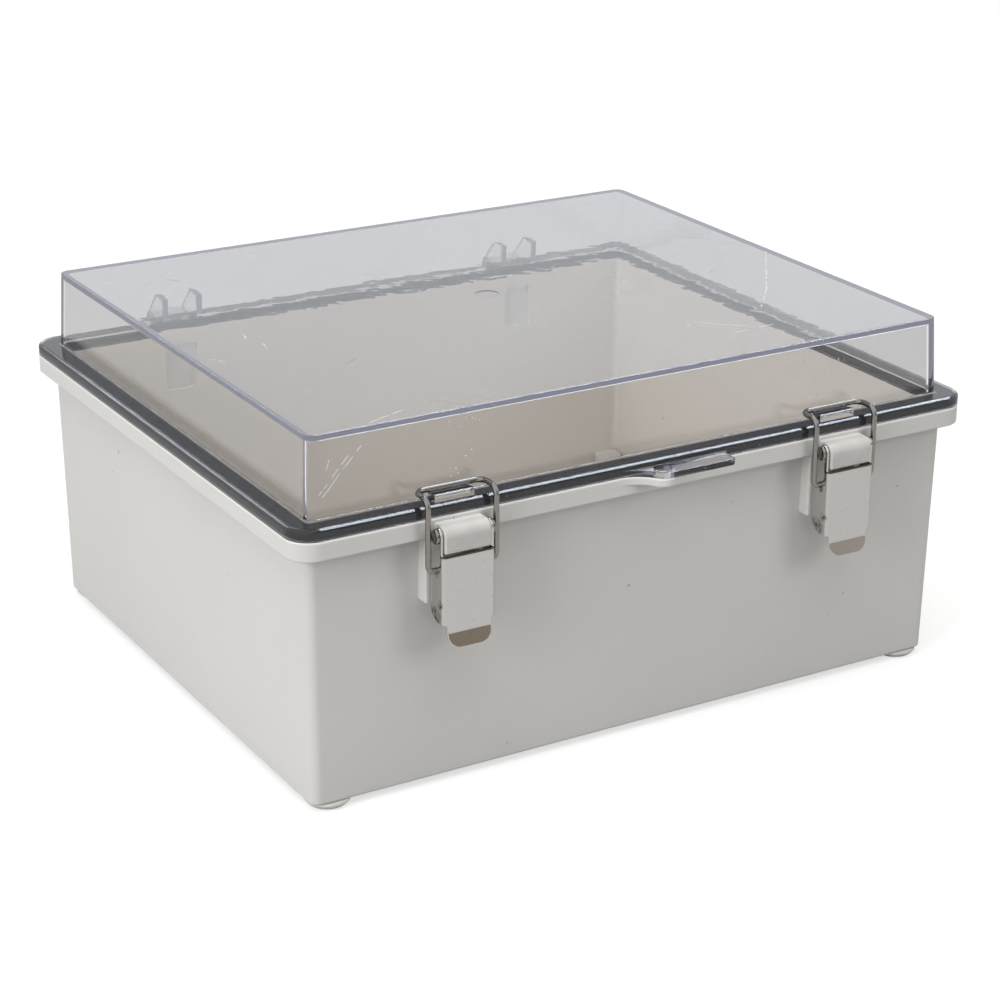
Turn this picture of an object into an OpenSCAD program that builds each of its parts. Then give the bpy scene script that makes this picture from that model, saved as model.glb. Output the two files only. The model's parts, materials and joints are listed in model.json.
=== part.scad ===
// Hinged outdoor enclosure: grey moulded box, clear domed lid and two stainless draw latches.
// Millimetres, +Z up, latches towards -Y, feet standing on z = 0.

/* [Box] */
// Width across the rim
rim_w = 326; // [300:1:400]
// Depth across the rim
rim_d = 274; // [250:1:340]
// Height from the underside of the floor to the top of the rim
box_h = 116.8; // [100:0.1:160]
// Height of the rim's outer face
rim_h = 7.8; // [6:0.1:10]
// Thickness of the rim's top plate
rim_plate = 3; // [2.5:0.1:4]
// Thickness of the skirt round the rim
rim_skirt = 2.6; // [2:0.1:3.5]
// Corner radius of the rim
rim_corner_r = 11; // [8:0.5:14]
// Overhang of the rim past the wall
rim_overhang = 7.4; // [6:0.1:9]
// Inward lean of each wall from the rim down to the floor
wall_draft = 1.4; // [0.5:0.1:3]
// Corner radius of the walls
wall_corner_r = 4; // [3.5:0.5:8]
// Thickness of the walls
wall = 3; // [2:0.1:3.4]
// Thickness of the floor
floor_t = 3; // [2.5:0.1:5]
// Distance from the rim's outer face to the sealing tongue
tongue_inset = 4.4; // [4:0.1:5.5]
// Width of the sealing tongue
tongue_w = 2; // [1.2:0.1:2.6]

/* [Lid] */
// Height of the lid's flange
lid_flange_h = 5.2; // [4.6:0.1:8]
// Parting gap between the rim and the lid's flange
lid_gap = 0.3; // [0.2:0.05:0.6]
// Rounding of the flange's outer top edge, as a chamfer of this width
flange_edge = 1; // [0.5:0.1:1.6]
// Distance from the flange's outer face to the gasket groove
groove_inset = 2; // [1.6:0.1:2.6]
// Width of the gasket groove
groove_w = 7; // [6:0.1:7.6]
// Depth of the gasket groove
groove_depth = 3; // [2.6:0.1:3.4]
// Thickness of the gasket
gasket_t = 2.6; // [1.8:0.1:2.7]
// Gap left between the gasket and the tongue
gasket_gap = 0.2; // [0.1:0.05:0.3]
// Gap between the gasket and each side of its groove
gasket_side_gap = 0.1; // [0.05:0.05:0.3]
// Distance from the flange's outer face to the dome's foot
dome_inset = 9.5; // [8.5:0.1:10.5]
// Inward lean of the dome from its foot to its top
dome_draft = 1.5; // [0.5:0.1:3]
// Height of the dome above the flange
dome_h = 33.5; // [20:0.5:60]
// Corner radius of the dome
dome_corner_r = 4; // [3.6:0.1:8]
// Rounding of the dome's top edges
dome_edge_r = 2.5; // [1:0.1:3]
// Thickness of the lid
lid_wall = 3; // [2:0.1:3.5]
// Diameter of the gate mark on the dome
gate_d = 11; // [6:0.5:16]
// Depth of the gate mark
gate_depth = 0.3; // [0.2:0.05:0.6]

/* [Feet] */
// Distance from the rim's side face to a foot's centre
foot_inset_x = 19; // [17:0.5:40]
// Distance from the rim's front face to a foot's centre
foot_inset_y = 16.5; // [16:0.5:40]
// Diameter of a foot
foot_d = 19; // [14:0.5:22]
// Height of a foot
foot_h = 3; // [2:0.1:6]
// Diameter of the spigot that seats in the floor
foot_spigot_d = 11; // [9:0.1:12]
// Height of that spigot
foot_spigot_h = 2; // [1:0.1:2.4]
// Diameter of the screw passage through a foot
foot_hole_d = 5.5; // [5:0.1:6.5]
// Diameter of the boss above a foot
foot_boss_d = 14; // [12:0.5:15]
// Height of that boss above the floor
foot_boss_h = 12; // [11:0.5:20]

/* [Inserts] */
// Outer diameter of a foot insert
foot_insert_d = 7; // [6.8:0.1:8]
// Length of a foot insert
foot_insert_h = 8; // [6:0.1:9]
// Thread bore of a foot insert
foot_thread_d = 4.2; // [3.3:0.1:5]
// Distance from the rim's side face to a panel boss
panel_inset_x = 40; // [36:0.5:60]
// Distance from the rim's front face to a panel boss
panel_inset_y = 39; // [36:0.5:60]
// Diameter of a panel boss
panel_boss_d = 10; // [9:0.5:14]
// Height of a panel boss above the floor
panel_boss_h = 9; // [8:0.5:20]
// Outer diameter of a panel insert
panel_insert_d = 5.6; // [5:0.1:6.5]
// Length of a panel insert
panel_insert_h = 7; // [5:0.1:7.5]
// Thread bore of a panel insert
panel_thread_d = 3.3; // [2.5:0.1:3.6]
// Depth of the grip groove round an insert
insert_groove = 0.5; // [0.2:0.05:0.6]
// Radial gap of a seated insert, spigot or pin
seat_gap = 0.02; // [0.01:0.01:0.05]

/* [Hinges] */
// Distance from the middle of the box to each hinge
hinge_x = 92; // [70:1:110]
// Distance from the rim's rear face to the pin axis
hinge_out = 6.1; // [5.8:0.1:8]
// Height of the pin axis above the rim
hinge_rise = 1.7; // [1:0.1:2.5]
// Diameter of a hinge pin
hinge_pin_d = 3.5; // [2.5:0.1:4]
// Diameter of the hinge barrels
hinge_barrel_d = 8; // [7:0.1:8.6]
// Width of the box's hinge lug
hinge_lug_w = 13.8; // [10:0.1:16]
// Thickness of a lid ear
ear_t = 2.8; // [2.4:0.1:4]
// Rise of the lid ears above the flange
ear_rise = 10.6; // [6:0.1:13]
// Length of the ears' flat top, measured from the dome's foot
ear_top = 8; // [6:0.1:10.5]
// Length that a hinge pin stands out of each ear
hinge_pin_end = 0.6; // [0.3:0.1:1.5]
// Width of the pad under a hinge lug
hinge_pad_w = 17.2; // [14:0.1:24]
// Drop of that pad below the rim
hinge_pad_drop = 21; // [12:0.5:40]
// Distance that the pad stands back from the rim's face
hinge_pad_back = 1; // [0.5:0.1:3]
// Depth of the pocket inside the wall behind a hinge pad
hinge_pocket = 1.2; // [0.5:0.1:2]
// Border of the pad round its pocket
pocket_border = 1.5; // [1:0.1:2.5]
// Running gap round pins and bail ends
run_gap = 0.05; // [0.02:0.01:0.1]
// Side gap between moving faces
side_gap = 0.3; // [0.2:0.05:0.5]

/* [Latches] */
// Distance from the middle of the box to each latch
latch_x = 93; // [70:1:110]
// Distance from the rim's front face to the lever's pivot
pivot_out = 4.1; // [4:0.1:5]
// Drop of the pivot below the rim's top
pivot_drop = 5.7; // [5:0.1:6.5]
// Diameter of the pivot pin
pivot_d = 4; // [3:0.1:4.4]
// Diameter of the pivot pin's heads
pivot_head_d = 6; // [5:0.1:6.6]
// Thickness of those heads
pivot_head_t = 1.2; // [0.8:0.1:1.4]
// Width of the moulded hood between the lever's ears
hood_w = 20.7; // [16:0.1:22]
// Reach of the hood in front of the pivot
hood_out = 4.7; // [4:0.1:4.8]
// Rise of the hood above the pivot
hood_up = 4.2; // [3.6:0.1:4.8]
// Drop of the hood below the pivot
hood_down = 6; // [4:0.1:6.2]
// Rounding of the hood's top front edge
hood_r = 4.4; // [3:0.1:4.5]
// Width of the pad behind the lever
latch_pad_w = 27; // [25:0.1:28]
// Drop of that pad below the rim
latch_pad_drop = 28.5; // [20:0.5:40]
// Distance that the pad stands back from the rim's face
latch_pad_back = 2; // [1.5:0.1:2.5]
// Thickness of the lever's sheet
sheet = 1.2; // [0.8:0.1:1.3]
// Outer radius of the lever's bends
bend_r = 1.8; // [1.6:0.1:3]
// Distance from the pivot to the lever's outer face
lever_out = 5; // [4.9:0.05:6]
// Gap between the lever's sides and the pad
lever_pad_gap = 0.3; // [0.2:0.05:0.8]
// Radius of the lever's ears
lever_ear_r = 3.6; // [3.2:0.1:3.7]
// Drop from the pivot to the top of the lever's face
lever_face_top = 7.3; // [7.2:0.1:8]
// Drop from the pivot to the wide part of the lever's sides
lever_side_top = 12; // [10:0.1:13]
// Drop from the pivot to the foot of the lever's sides
lever_foot = 36.5; // [32:0.1:42]
// Corner radius at the foot of the lever's sides
lever_foot_r = 7.5; // [5:0.1:8]
// Width of the finger tab
tab_w = 19.8; // [15:0.1:20]
// Drop from the foot of the lever's sides to the bend of the finger tab
tab_neck = 2.4; // [1:0.1:4]
// Inner radius of that bend
tab_bend_r = 4; // [2:0.5:8]
// Angle that the finger tab is bent out by
tab_angle = 17; // [10:1:30]
// Length of the finger tab below its bend
tab_l = 6.2; // [4:0.1:12]
// Corner radius of the finger tab
tab_corner_r = 5.5; // [2:0.1:7]

/* [Bails] */
// Diameter of the bail wire
wire_d = 2.4; // [1.8:0.1:2.6]
// Distance between the bail's legs
bail_span = 30.5; // [30:0.1:33]
// Drop from the lever's pivot to the bail's pivot
bail_drop = 14.4; // [13:0.1:17]
// Distance from the lever's pivot back to the bail's pivot
bail_back = 0.6; // [0:0.1:2]
// Height from the bail's pivot to its crossbar
bail_h = 29.8; // [29.6:0.1:32]
// Reach from the bail's legs back to its crossbar
bail_reach = 10.8; // [10:0.1:11]
// Bend radius at the crossbar and the shoulders
bail_bend_r = 4; // [3:0.1:5]
// Bend radius at the bail's ends
bail_end_bend_r = 2.6; // [2:0.1:2.7]
// Length that a bail end stands inside the lever
bail_end = 0.6; // [0.2:0.1:1.5]

/* [Catches] */
// Width of a catch on the lid
catch_w = 18; // [12:0.5:20]
// Depth of a catch in front of the crossbar
catch_front = 4.9; // [3:0.1:6]
// Depth of a catch behind the crossbar
catch_rear = 0.8; // [0.4:0.1:1]
// Gap between a catch and the crossbar that it holds
catch_gap = 0.3; // [0.2:0.05:0.5]
// Rise of the catch's top over its front part
catch_ramp = 0.7; // [0.3:0.05:0.8]

/* [Padlock tab] */
// Diameter of the padlock hole
padlock_d = 7.5; // [5:0.1:9]
// Distance from the rim's face to the padlock hole
padlock_out = 4.1; // [4:0.1:6]
// Wall round the padlock hole
padlock_wall = 2.1; // [1.6:0.1:3]
// Thickness of the lid's tab
tab_t = 2.75; // [2:0.05:4]
// Thickness of the box's lug under the tab
lug_t = 3.2; // [2.5:0.1:4.5]
// Length of the flare beside the hole
flare = 18; // [14:0.5:24]
// Depth that the flare runs into the eye round the hole
flare_bite = 0.2; // [0.1:0.05:0.4]
// Length of the pull ledge beside the hole
ledge_l = 32.5; // [20:0.5:50]
// Reach of the pull ledge
ledge_out = 10; // [6:0.1:10.5]
// Corner radius of the pull ledge
ledge_r = 2; // [1:0.1:3]

/* [Hidden] */
$fn = 64;

// A small overlap that lets a cut or a joint pass cleanly through a face
over = 1;
// Thickness of the slices that a leaning shell is drawn between
slice = 0.01;
// Number of short flats that make up the finger tab's bend
tab_bend_steps = 4;
box_z = foot_h;
rim_z = box_z + box_h;
rim_under = rim_z - rim_h;
floor_z = box_z + floor_t;
lid_z = rim_z + lid_gap;
flange_z = lid_z + lid_flange_h;
dome_z = flange_z + dome_h;
groove_z = lid_z + groove_depth;
gasket_z = groove_z - gasket_t;
tongue_z = gasket_z - gasket_gap;
foot_span_x = rim_w - 2 * foot_inset_x;
foot_span_y = rim_d - 2 * foot_inset_y;
panel_span_x = rim_w - 2 * panel_inset_x;
panel_span_y = rim_d - 2 * panel_inset_y;
front_y = -rim_d / 2;
rear_y = rim_d / 2;
pivot_y = front_y - pivot_out;
pivot_z = rim_z - pivot_drop;
pad_y = front_y + latch_pad_back;
lever_back = pad_y - pivot_y - lever_pad_gap;
lever_half = hood_w / 2 + side_gap + sheet;
bar_y = bail_back + bail_reach;
bar_z = bail_h - bail_drop;
catch_z = pivot_z + bar_z - wire_d / 2 - catch_gap;
crossbar_y = pivot_y + bar_y;
hinge_y = rear_y + hinge_out;
hinge_z = rim_z + hinge_rise;
ear_x = hinge_lug_w / 2 + side_gap;
dome_foot_y = rear_y - dome_inset;
padlock_r = padlock_d / 2 + padlock_wall;
grey = [0.80, 0.80, 0.78];
steel = [0.78, 0.78, 0.76];
brass = [0.78, 0.62, 0.30];
clear = [0.80, 0.86, 0.92, 0.40];

module rounded_rect(w, d, r) {
  square([w - 2 * r, d], center = true);
  square([w, d - 2 * r], center = true);
  for (sx = [-1, 1], sy = [-1, 1])
    translate([sx * (w / 2 - r), sy * (d / 2 - r)])
      circle(r);
}

// A plate that follows the rim's outline, set in from its outer face
module rim_plate_at(inset, z, h) {
  translate([0, 0, z])
    linear_extrude(h)
      rounded_rect(rim_w - 2 * inset, rim_d - 2 * inset, max(rim_corner_r - inset, wall_corner_r - 2));
}

module ring_at(inset, w, z, h) {
  difference() {
    rim_plate_at(inset, z, h);
    rim_plate_at(inset + w, z - over, h + 2 * over);
  }
}

// One thin slice of a leaning shell, set in from the rim's outer face
module shell_slice(inset, z, r) {
  translate([0, 0, z])
    linear_extrude(slice)
      rounded_rect(rim_w - 2 * inset, rim_d - 2 * inset, r, $fn = 48);
}

// A profile drawn in Y and Z, carried along X about the middle
module across(w) {
  translate([-w / 2, 0, 0])
    rotate([90, 0, 90])
      linear_extrude(w)
        children();
}

module x_rod(d, from, to) {
  translate([from, 0, 0])
    rotate([0, 90, 0])
      cylinder(d = d, h = to - from);
}

module at_corners(span_x, span_y) {
  for (sx = [-1, 1], sy = [-1, 1])
    translate([sx * span_x / 2, sy * span_y / 2, 0])
      children();
}

module at_latches() {
  for (side = [-1, 1])
    translate([side * latch_x, pivot_y, pivot_z])
      children();
}

module at_hinges() {
  for (side = [-1, 1])
    translate([side * hinge_x, hinge_y, hinge_z])
      children();
}

function wall_inset_at(z) = rim_overhang + wall_draft * (rim_z - z) / box_h;

// The leaning walls, or with a thickness the space inside them
module wall_shell(inside, z_low, z_high, r) {
  hull() {
    shell_slice(wall_inset_at(z_low) + inside, z_low, r);
    shell_slice(wall_inset_at(z_high) + inside, z_high - slice, r);
  }
}

module rim() {
  difference() {
    rim_plate_at(0, rim_under, rim_h);
    rim_plate_at(rim_skirt, rim_under - over, rim_h - rim_plate + over);
  }
  ring_at(tongue_inset, tongue_w, rim_z - over, tongue_z - rim_z + over);
}

// Outline of the padlock lug: a round eye with an S-shaped flare on its left
module padlock_outline() {
  meet_r = padlock_r - flare_bite;
  flare_r = (flare * flare - meet_r * meet_r + padlock_out * padlock_out) / (2 * (meet_r + padlock_out));
  meet_y = padlock_out + meet_r * (flare_r - padlock_out) / (flare_r + meet_r);
  translate([0, front_y]) {
    translate([0, -padlock_out])
      circle(padlock_r);
    difference() {
      translate([-flare, -meet_y])
        square([flare, meet_y + over]);
      translate([-flare, -flare_r])
        circle(flare_r, $fn = 128);
    }
    translate([-padlock_wall, -padlock_out])
      square([padlock_r + padlock_wall, padlock_out + over]);
  }
}

module padlock_hole(z, h) {
  translate([0, front_y - padlock_out, z])
    cylinder(d = padlock_d, h = h);
}

// Pad behind a lever with the hood that carries its pivot
module latch_seat() {
  pad_rear = pivot_out + rim_overhang + wall_draft;
  pad_front = pad_y - pivot_y;
  pad_top = pivot_drop;
  across(latch_pad_w)
    translate([pad_front, pad_top - rim_h - latch_pad_drop])
      square([pad_rear - pad_front, latch_pad_drop + rim_h]);
  across(hood_w) {
    translate([hood_r - hood_out, -hood_down])
      square([pad_rear + hood_out - hood_r, hood_up + hood_down]);
    translate([-hood_out, -hood_down])
      square([hood_r, hood_up + hood_down - hood_r]);
    translate([hood_r - hood_out, hood_up - hood_r])
      circle(hood_r);
  }
}

// Pad and barrel that carry a hinge pin
module hinge_seat() {
  pad_front = -hinge_out - rim_overhang - wall_draft;
  neck_top = -hinge_rise;
  across(hinge_pad_w)
    translate([pad_front, -hinge_rise - rim_h - hinge_pad_drop])
      square([-hinge_out - hinge_pad_back - pad_front, hinge_pad_drop + rim_h - rim_plate]);
  across(hinge_lug_w) {
    circle(d = hinge_barrel_d);
    polygon([
      [pad_front, neck_top], [-hinge_out, neck_top], [0, -hinge_barrel_d / 4],
      [hinge_barrel_d / 2, 0], [hinge_barrel_d / 2, -hinge_barrel_d / 4],
      [-hinge_out - hinge_pad_back, -hinge_rise - rim_h - rim_h], [pad_front, -hinge_rise - rim_h - rim_h]]);
  }
}

module hinge_pocket_cut() {
  inner_y = -hinge_out - rim_overhang - wall;
  w = hinge_pad_w - 2 * pocket_border;
  translate([-w / 2, inner_y - wall, -hinge_rise - rim_h - hinge_pad_drop + pocket_border])
    cube([w, wall + hinge_pocket, hinge_pad_drop]);
}

module base_box() {
  color(grey)
    difference() {
      union() {
        wall_shell(0, box_z, rim_z, wall_corner_r);
        rim();
        at_latches() latch_seat();
        at_hinges() hinge_seat();
        translate([0, 0, rim_z - lug_t])
          linear_extrude(lug_t)
            padlock_outline();
      }
      difference() {
        wall_shell(wall, floor_z, rim_z + over, wall_corner_r - wall / 2);
        at_corners(foot_span_x, foot_span_y)
          translate([0, 0, box_z])
            cylinder(d = foot_boss_d, h = floor_t + foot_boss_h);
        at_corners(panel_span_x, panel_span_y)
          translate([0, 0, box_z])
            cylinder(d = panel_boss_d, h = floor_t + panel_boss_h);
      }
      at_corners(foot_span_x, foot_span_y)
        translate([0, 0, box_z - over]) {
          cylinder(d = foot_spigot_d + 2 * seat_gap, h = foot_spigot_h + over);
          cylinder(d = foot_insert_d + 2 * seat_gap, h = foot_spigot_h + foot_insert_h + over);
        }
      at_corners(panel_span_x, panel_span_y)
        translate([0, 0, floor_z + panel_boss_h - panel_insert_h])
          cylinder(d = panel_insert_d + 2 * seat_gap, h = panel_insert_h + over);
      at_latches() x_rod(pivot_d + 2 * seat_gap, -hood_w, hood_w);
      at_hinges() x_rod(hinge_pin_d + 2 * seat_gap, -hinge_lug_w, hinge_lug_w);
      at_hinges() hinge_pocket_cut();
      padlock_hole(rim_z - lug_t - over, lug_t + 2 * over);
    }
}

module foot(sx, sy) {
  color(grey)
    translate([sx * foot_span_x / 2, sy * foot_span_y / 2, 0])
      difference() {
        union() {
          cylinder(d1 = foot_d - foot_h / 2, d2 = foot_d, h = foot_h / 2);
          translate([0, 0, foot_h / 2])
            cylinder(d = foot_d, h = foot_h / 2);
          cylinder(d = foot_spigot_d, h = foot_h + foot_spigot_h);
        }
        translate([0, 0, -over])
          cylinder(d = foot_hole_d, h = foot_h + foot_spigot_h + 2 * over);
      }
}

// A threaded brass insert with one grip groove, standing on its lower face
module insert(d, h, thread_d) {
  color(brass)
    difference() {
      union() {
        cylinder(d = d, h = h / 3);
        cylinder(d = d - 2 * insert_groove, h = h);
        translate([0, 0, 2 * h / 3])
          cylinder(d = d, h = h / 3);
      }
      translate([0, 0, -over])
        cylinder(d = thread_d, h = h + 2 * over);
    }
}

module foot_insert(sx, sy) {
  translate([sx * foot_span_x / 2, sy * foot_span_y / 2, box_z + foot_spigot_h])
    insert(foot_insert_d, foot_insert_h, foot_thread_d);
}

module panel_insert(sx, sy) {
  translate([sx * panel_span_x / 2, sy * panel_span_y / 2, floor_z + panel_boss_h - panel_insert_h])
    insert(panel_insert_d, panel_insert_h, panel_thread_d);
}

// Clear ear that carries the lid to the hinge pin, drawn about the pin axis
module ear_profile() {
  foot_back = dome_foot_y - hinge_y - over;
  top_z = flange_z - hinge_z + ear_rise;
  low_z = lid_z - hinge_z;
  r = hinge_barrel_d / 2;
  circle(r);
  polygon([
    [foot_back, groove_z - hinge_z + over], [foot_back, top_z], [dome_foot_y + ear_top - hinge_y, top_z],
    [r * cos(30), r * sin(30)], [0, 0], [0, -r], [-hinge_out, low_z],
    [-hinge_out - groove_inset, low_z], [-hinge_out - groove_inset, groove_z - hinge_z + over]]);
}

module lid_ears() {
  for (side = [-1, 1])
    translate([side * (ear_x + ear_t / 2), 0, 0])
      across(ear_t)
        ear_profile();
}

// Dome with rounded top edges, drawn as one stack of slices
module dome(inside, z_low, z_high, edge_r, corner_r) {
  steps = 5;
  lean = dome_draft / dome_h;
  hull() {
    shell_slice(dome_inset + inside + lean * (z_low - flange_z), z_low, corner_r);
    for (i = [0:steps]) {
      angle = 90 * i / steps;
      z = z_high - edge_r * (1 - sin(angle));
      shell_slice(dome_inset + inside + lean * (z - flange_z) + edge_r * (1 - cos(angle)), z - slice, corner_r);
    }
  }
}

// Raised rest that a bail's crossbar pulls down on, higher at the front
module catch_block() {
  across(catch_w)
    polygon([
      [bar_y - catch_front, flange_z - pivot_z - over], [bar_y + catch_rear, flange_z - pivot_z - over],
      [bar_y + catch_rear, catch_z - pivot_z], [bar_y, catch_z - pivot_z],
      [bar_y - catch_front, catch_z - pivot_z + catch_ramp]]);
}

module lid_tab() {
  translate([0, 0, lid_z])
    linear_extrude(tab_t)
      difference() {
        union() {
          padlock_outline();
          translate([0, front_y - ledge_out])
            square([ledge_l - ledge_r, ledge_out + over]);
          translate([0, front_y - ledge_out + ledge_r])
            square([ledge_l, ledge_out - ledge_r + over]);
          translate([ledge_l - ledge_r, front_y - ledge_out + ledge_r])
            circle(ledge_r);
        }
        translate([0, front_y - padlock_out])
          circle(d = padlock_d);
      }
}

module lid() {
  color(clear)
    difference() {
      union() {
        rim_plate_at(0, lid_z, lid_flange_h - flange_edge);
        rim_plate_at(flange_edge / 2, lid_z, lid_flange_h - flange_edge / 3);
        rim_plate_at(flange_edge, lid_z, lid_flange_h);
        dome(0, lid_z, dome_z, dome_edge_r, dome_corner_r);
        at_hinges() lid_ears();
        at_latches() catch_block();
        lid_tab();
      }
      dome(lid_wall, lid_z - over, dome_z - lid_wall, dome_edge_r / 2, dome_corner_r - lid_wall / 2);
      ring_at(groove_inset, groove_w, lid_z - over, groove_depth + over);
      at_hinges() x_rod(hinge_pin_d + 2 * run_gap, -ear_x - 2 * ear_t, ear_x + 2 * ear_t);
      translate([0, 0, dome_z - gate_depth])
        cylinder(d = gate_d, h = gate_depth + over);
    }
}

module gasket() {
  color([0.22, 0.22, 0.23])
    ring_at(groove_inset + gasket_side_gap, groove_w - 2 * gasket_side_gap, gasket_z, gasket_t);
}

module hinge_pin(side) {
  half = ear_x + ear_t + hinge_pin_end;
  color(steel)
    translate([side * hinge_x, hinge_y, hinge_z])
      x_rod(hinge_pin_d, -half, half);
}

// Rivet through the hood, with a head outside each of the lever's ears
module latch_pin(side) {
  half = lever_half + side_gap / 2;
  color(steel)
    translate([side * latch_x, pivot_y, pivot_z]) {
      x_rod(pivot_d, -half - over / 2, half + over / 2);
      for (end = [-1, 1])
        translate([end * (half + pivot_head_t / 2), 0, 0])
          x_rod(pivot_head_d, -pivot_head_t / 2, pivot_head_t / 2);
    }
}

// Channel section seen from above, open towards the box
module channel(half, front, back, r) {
  translate([-half + r, -front])
    square([2 * (half - r), front + back]);
  translate([-half, r - front])
    square([2 * half, front - r + back]);
  for (sx = [-1, 1])
    translate([sx * (half - r), r - front])
      circle(r);
}

// Side view of the lever: round ears, a straight back and a rounded foot
module lever_side() {
  circle(lever_ear_r);
  translate([-lever_ear_r, -lever_side_top])
    square([2 * lever_ear_r, lever_side_top]);
  translate([-lever_out, -lever_side_top])
    square([lever_out, lever_side_top - lever_face_top]);
  translate([-lever_out, lever_foot_r - lever_foot])
    square([lever_out + lever_back, lever_foot - lever_foot_r - lever_side_top]);
  translate([-lever_out, -lever_foot])
    square([lever_out + lever_back - lever_foot_r, lever_foot_r + over]);
  translate([lever_back - lever_foot_r, lever_foot_r - lever_foot])
    circle(lever_foot_r);
}

// Points on the finger tab's bend, at a distance from the bend's centre
function tab_arc(r) = [
  for (i = [0:tab_bend_steps])
    let (turn = tab_angle * i / tab_bend_steps)
      [r * cos(turn) - lever_out - tab_bend_r, -r * sin(turn) - lever_foot - tab_neck]];

// The same, with the flat below the bend added
function tab_face(r) = concat(
  tab_arc(r),
  [tab_arc(r)[tab_bend_steps] - tab_l * [sin(tab_angle), cos(tab_angle)]]);

// Finger tab below the lever's face: a short neck, a bend and a flat with round corners
module finger_tab() {
  front = tab_face(tab_bend_r);
  back = tab_face(tab_bend_r + sheet);
  tip = -back[tab_bend_steps + 1][1];
  intersection() {
    across(tab_w)
      polygon(concat(
        [[-lever_out, over - lever_foot]], front,
        [for (i = [tab_bend_steps + 1:-1:0]) back[i]], [[sheet - lever_out, over - lever_foot]]));
    rotate([90, 0, 0])
      linear_extrude(2 * lever_out) {
        translate([-tab_w / 2, tab_corner_r - tip])
          square([tab_w, tip - lever_foot]);
        translate([tab_corner_r - tab_w / 2, -tip])
          square([tab_w - 2 * tab_corner_r, tip - lever_foot]);
        for (sx = [-1, 1])
          translate([sx * (tab_w / 2 - tab_corner_r), tab_corner_r - tip])
            circle(tab_corner_r);
      }
  }
}

module latch_lever(side) {
  color(steel)
    translate([side * latch_x, pivot_y, pivot_z])
      difference() {
        union() {
          intersection() {
            translate([0, 0, -lever_foot - over])
              linear_extrude(lever_foot + lever_ear_r + 2 * over)
                difference() {
                  channel(lever_half, lever_out, lever_back + over, bend_r);
                  channel(lever_half - sheet, lever_out - sheet, lever_back + 2 * over, bend_r - sheet);
                }
            across(2 * lever_half + over) lever_side();
          }
          finger_tab();
        }
        translate([sheet - lever_half, -lever_out, -lever_face_top])
          cube([2 * (lever_half - sheet), lever_out + lever_back, lever_face_top + lever_ear_r + over]);
        x_rod(pivot_d + 2 * run_gap, -lever_half - over, lever_half + over);
        translate([0, bail_back, -bail_drop])
          x_rod(wire_d + 2 * run_gap, -lever_half - over, lever_half + over);
      }
}

// A quarter bend of wire from +X towards +Y, about the origin
module wire_bend(r) {
  rotate_extrude(angle = 90)
    translate([r, 0])
      circle(d = wire_d);
}

// One side of a bail: its end in the lever, its leg, its shoulder and half its crossbar
module bail_side() {
  leg_x = bail_span / 2;
  end_x = lever_half - sheet - bail_end;
  leg_low = bail_end_bend_r;
  leg_high = bail_h - bail_bend_r;
  x_rod(wire_d, end_x, leg_x - bail_end_bend_r);
  translate([leg_x - bail_end_bend_r, 0, leg_low])
    rotate([-90, 0, 0])
      wire_bend(bail_end_bend_r);
  translate([leg_x, 0, leg_low])
    cylinder(d = wire_d, h = leg_high - leg_low);
  translate([leg_x, bail_bend_r, leg_high])
    rotate([0, -90, 0])
      rotate([0, 0, -90])
        wire_bend(bail_bend_r);
  translate([leg_x, bail_bend_r, bail_h])
    rotate([-90, 0, 0])
      cylinder(d = wire_d, h = bail_reach - 2 * bail_bend_r);
  translate([leg_x - bail_bend_r, bail_reach - bail_bend_r, bail_h])
    wire_bend(bail_bend_r);
  translate([0, bail_reach, bail_h])
    x_rod(wire_d, 0, leg_x - bail_bend_r);
}

module latch_bail(side) {
  color(steel)
    translate([side * latch_x, pivot_y + bail_back, pivot_z - bail_drop]) {
      bail_side();
      mirror([1, 0, 0]) bail_side();
    }
}

base_box();
foot(-1, -1);  // foot_front_left
foot(1, -1);  // foot_front_right
foot(-1, 1);  // foot_rear_left
foot(1, 1);  // foot_rear_right
foot_insert(-1, -1);  // foot_insert_front_left
foot_insert(1, -1);  // foot_insert_front_right
foot_insert(-1, 1);  // foot_insert_rear_left
foot_insert(1, 1);  // foot_insert_rear_right
panel_insert(-1, -1);  // panel_insert_front_left
panel_insert(1, -1);  // panel_insert_front_right
panel_insert(-1, 1);  // panel_insert_rear_left
panel_insert(1, 1);  // panel_insert_rear_right
hinge_pin(-1);  // hinge_pin_left
hinge_pin(1);  // hinge_pin_right
latch_pin(-1);  // latch_pin_left
latch_pin(1);  // latch_pin_right
lid();
gasket();
latch_lever(-1);  // latch_lever_left
latch_lever(1);  // latch_lever_right
latch_bail(-1);  // latch_bail_left
latch_bail(1);  // latch_bail_right
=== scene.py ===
import json
import math

import bmesh
import bpy
import numpy as np
from mathutils import Matrix, Vector


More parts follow.
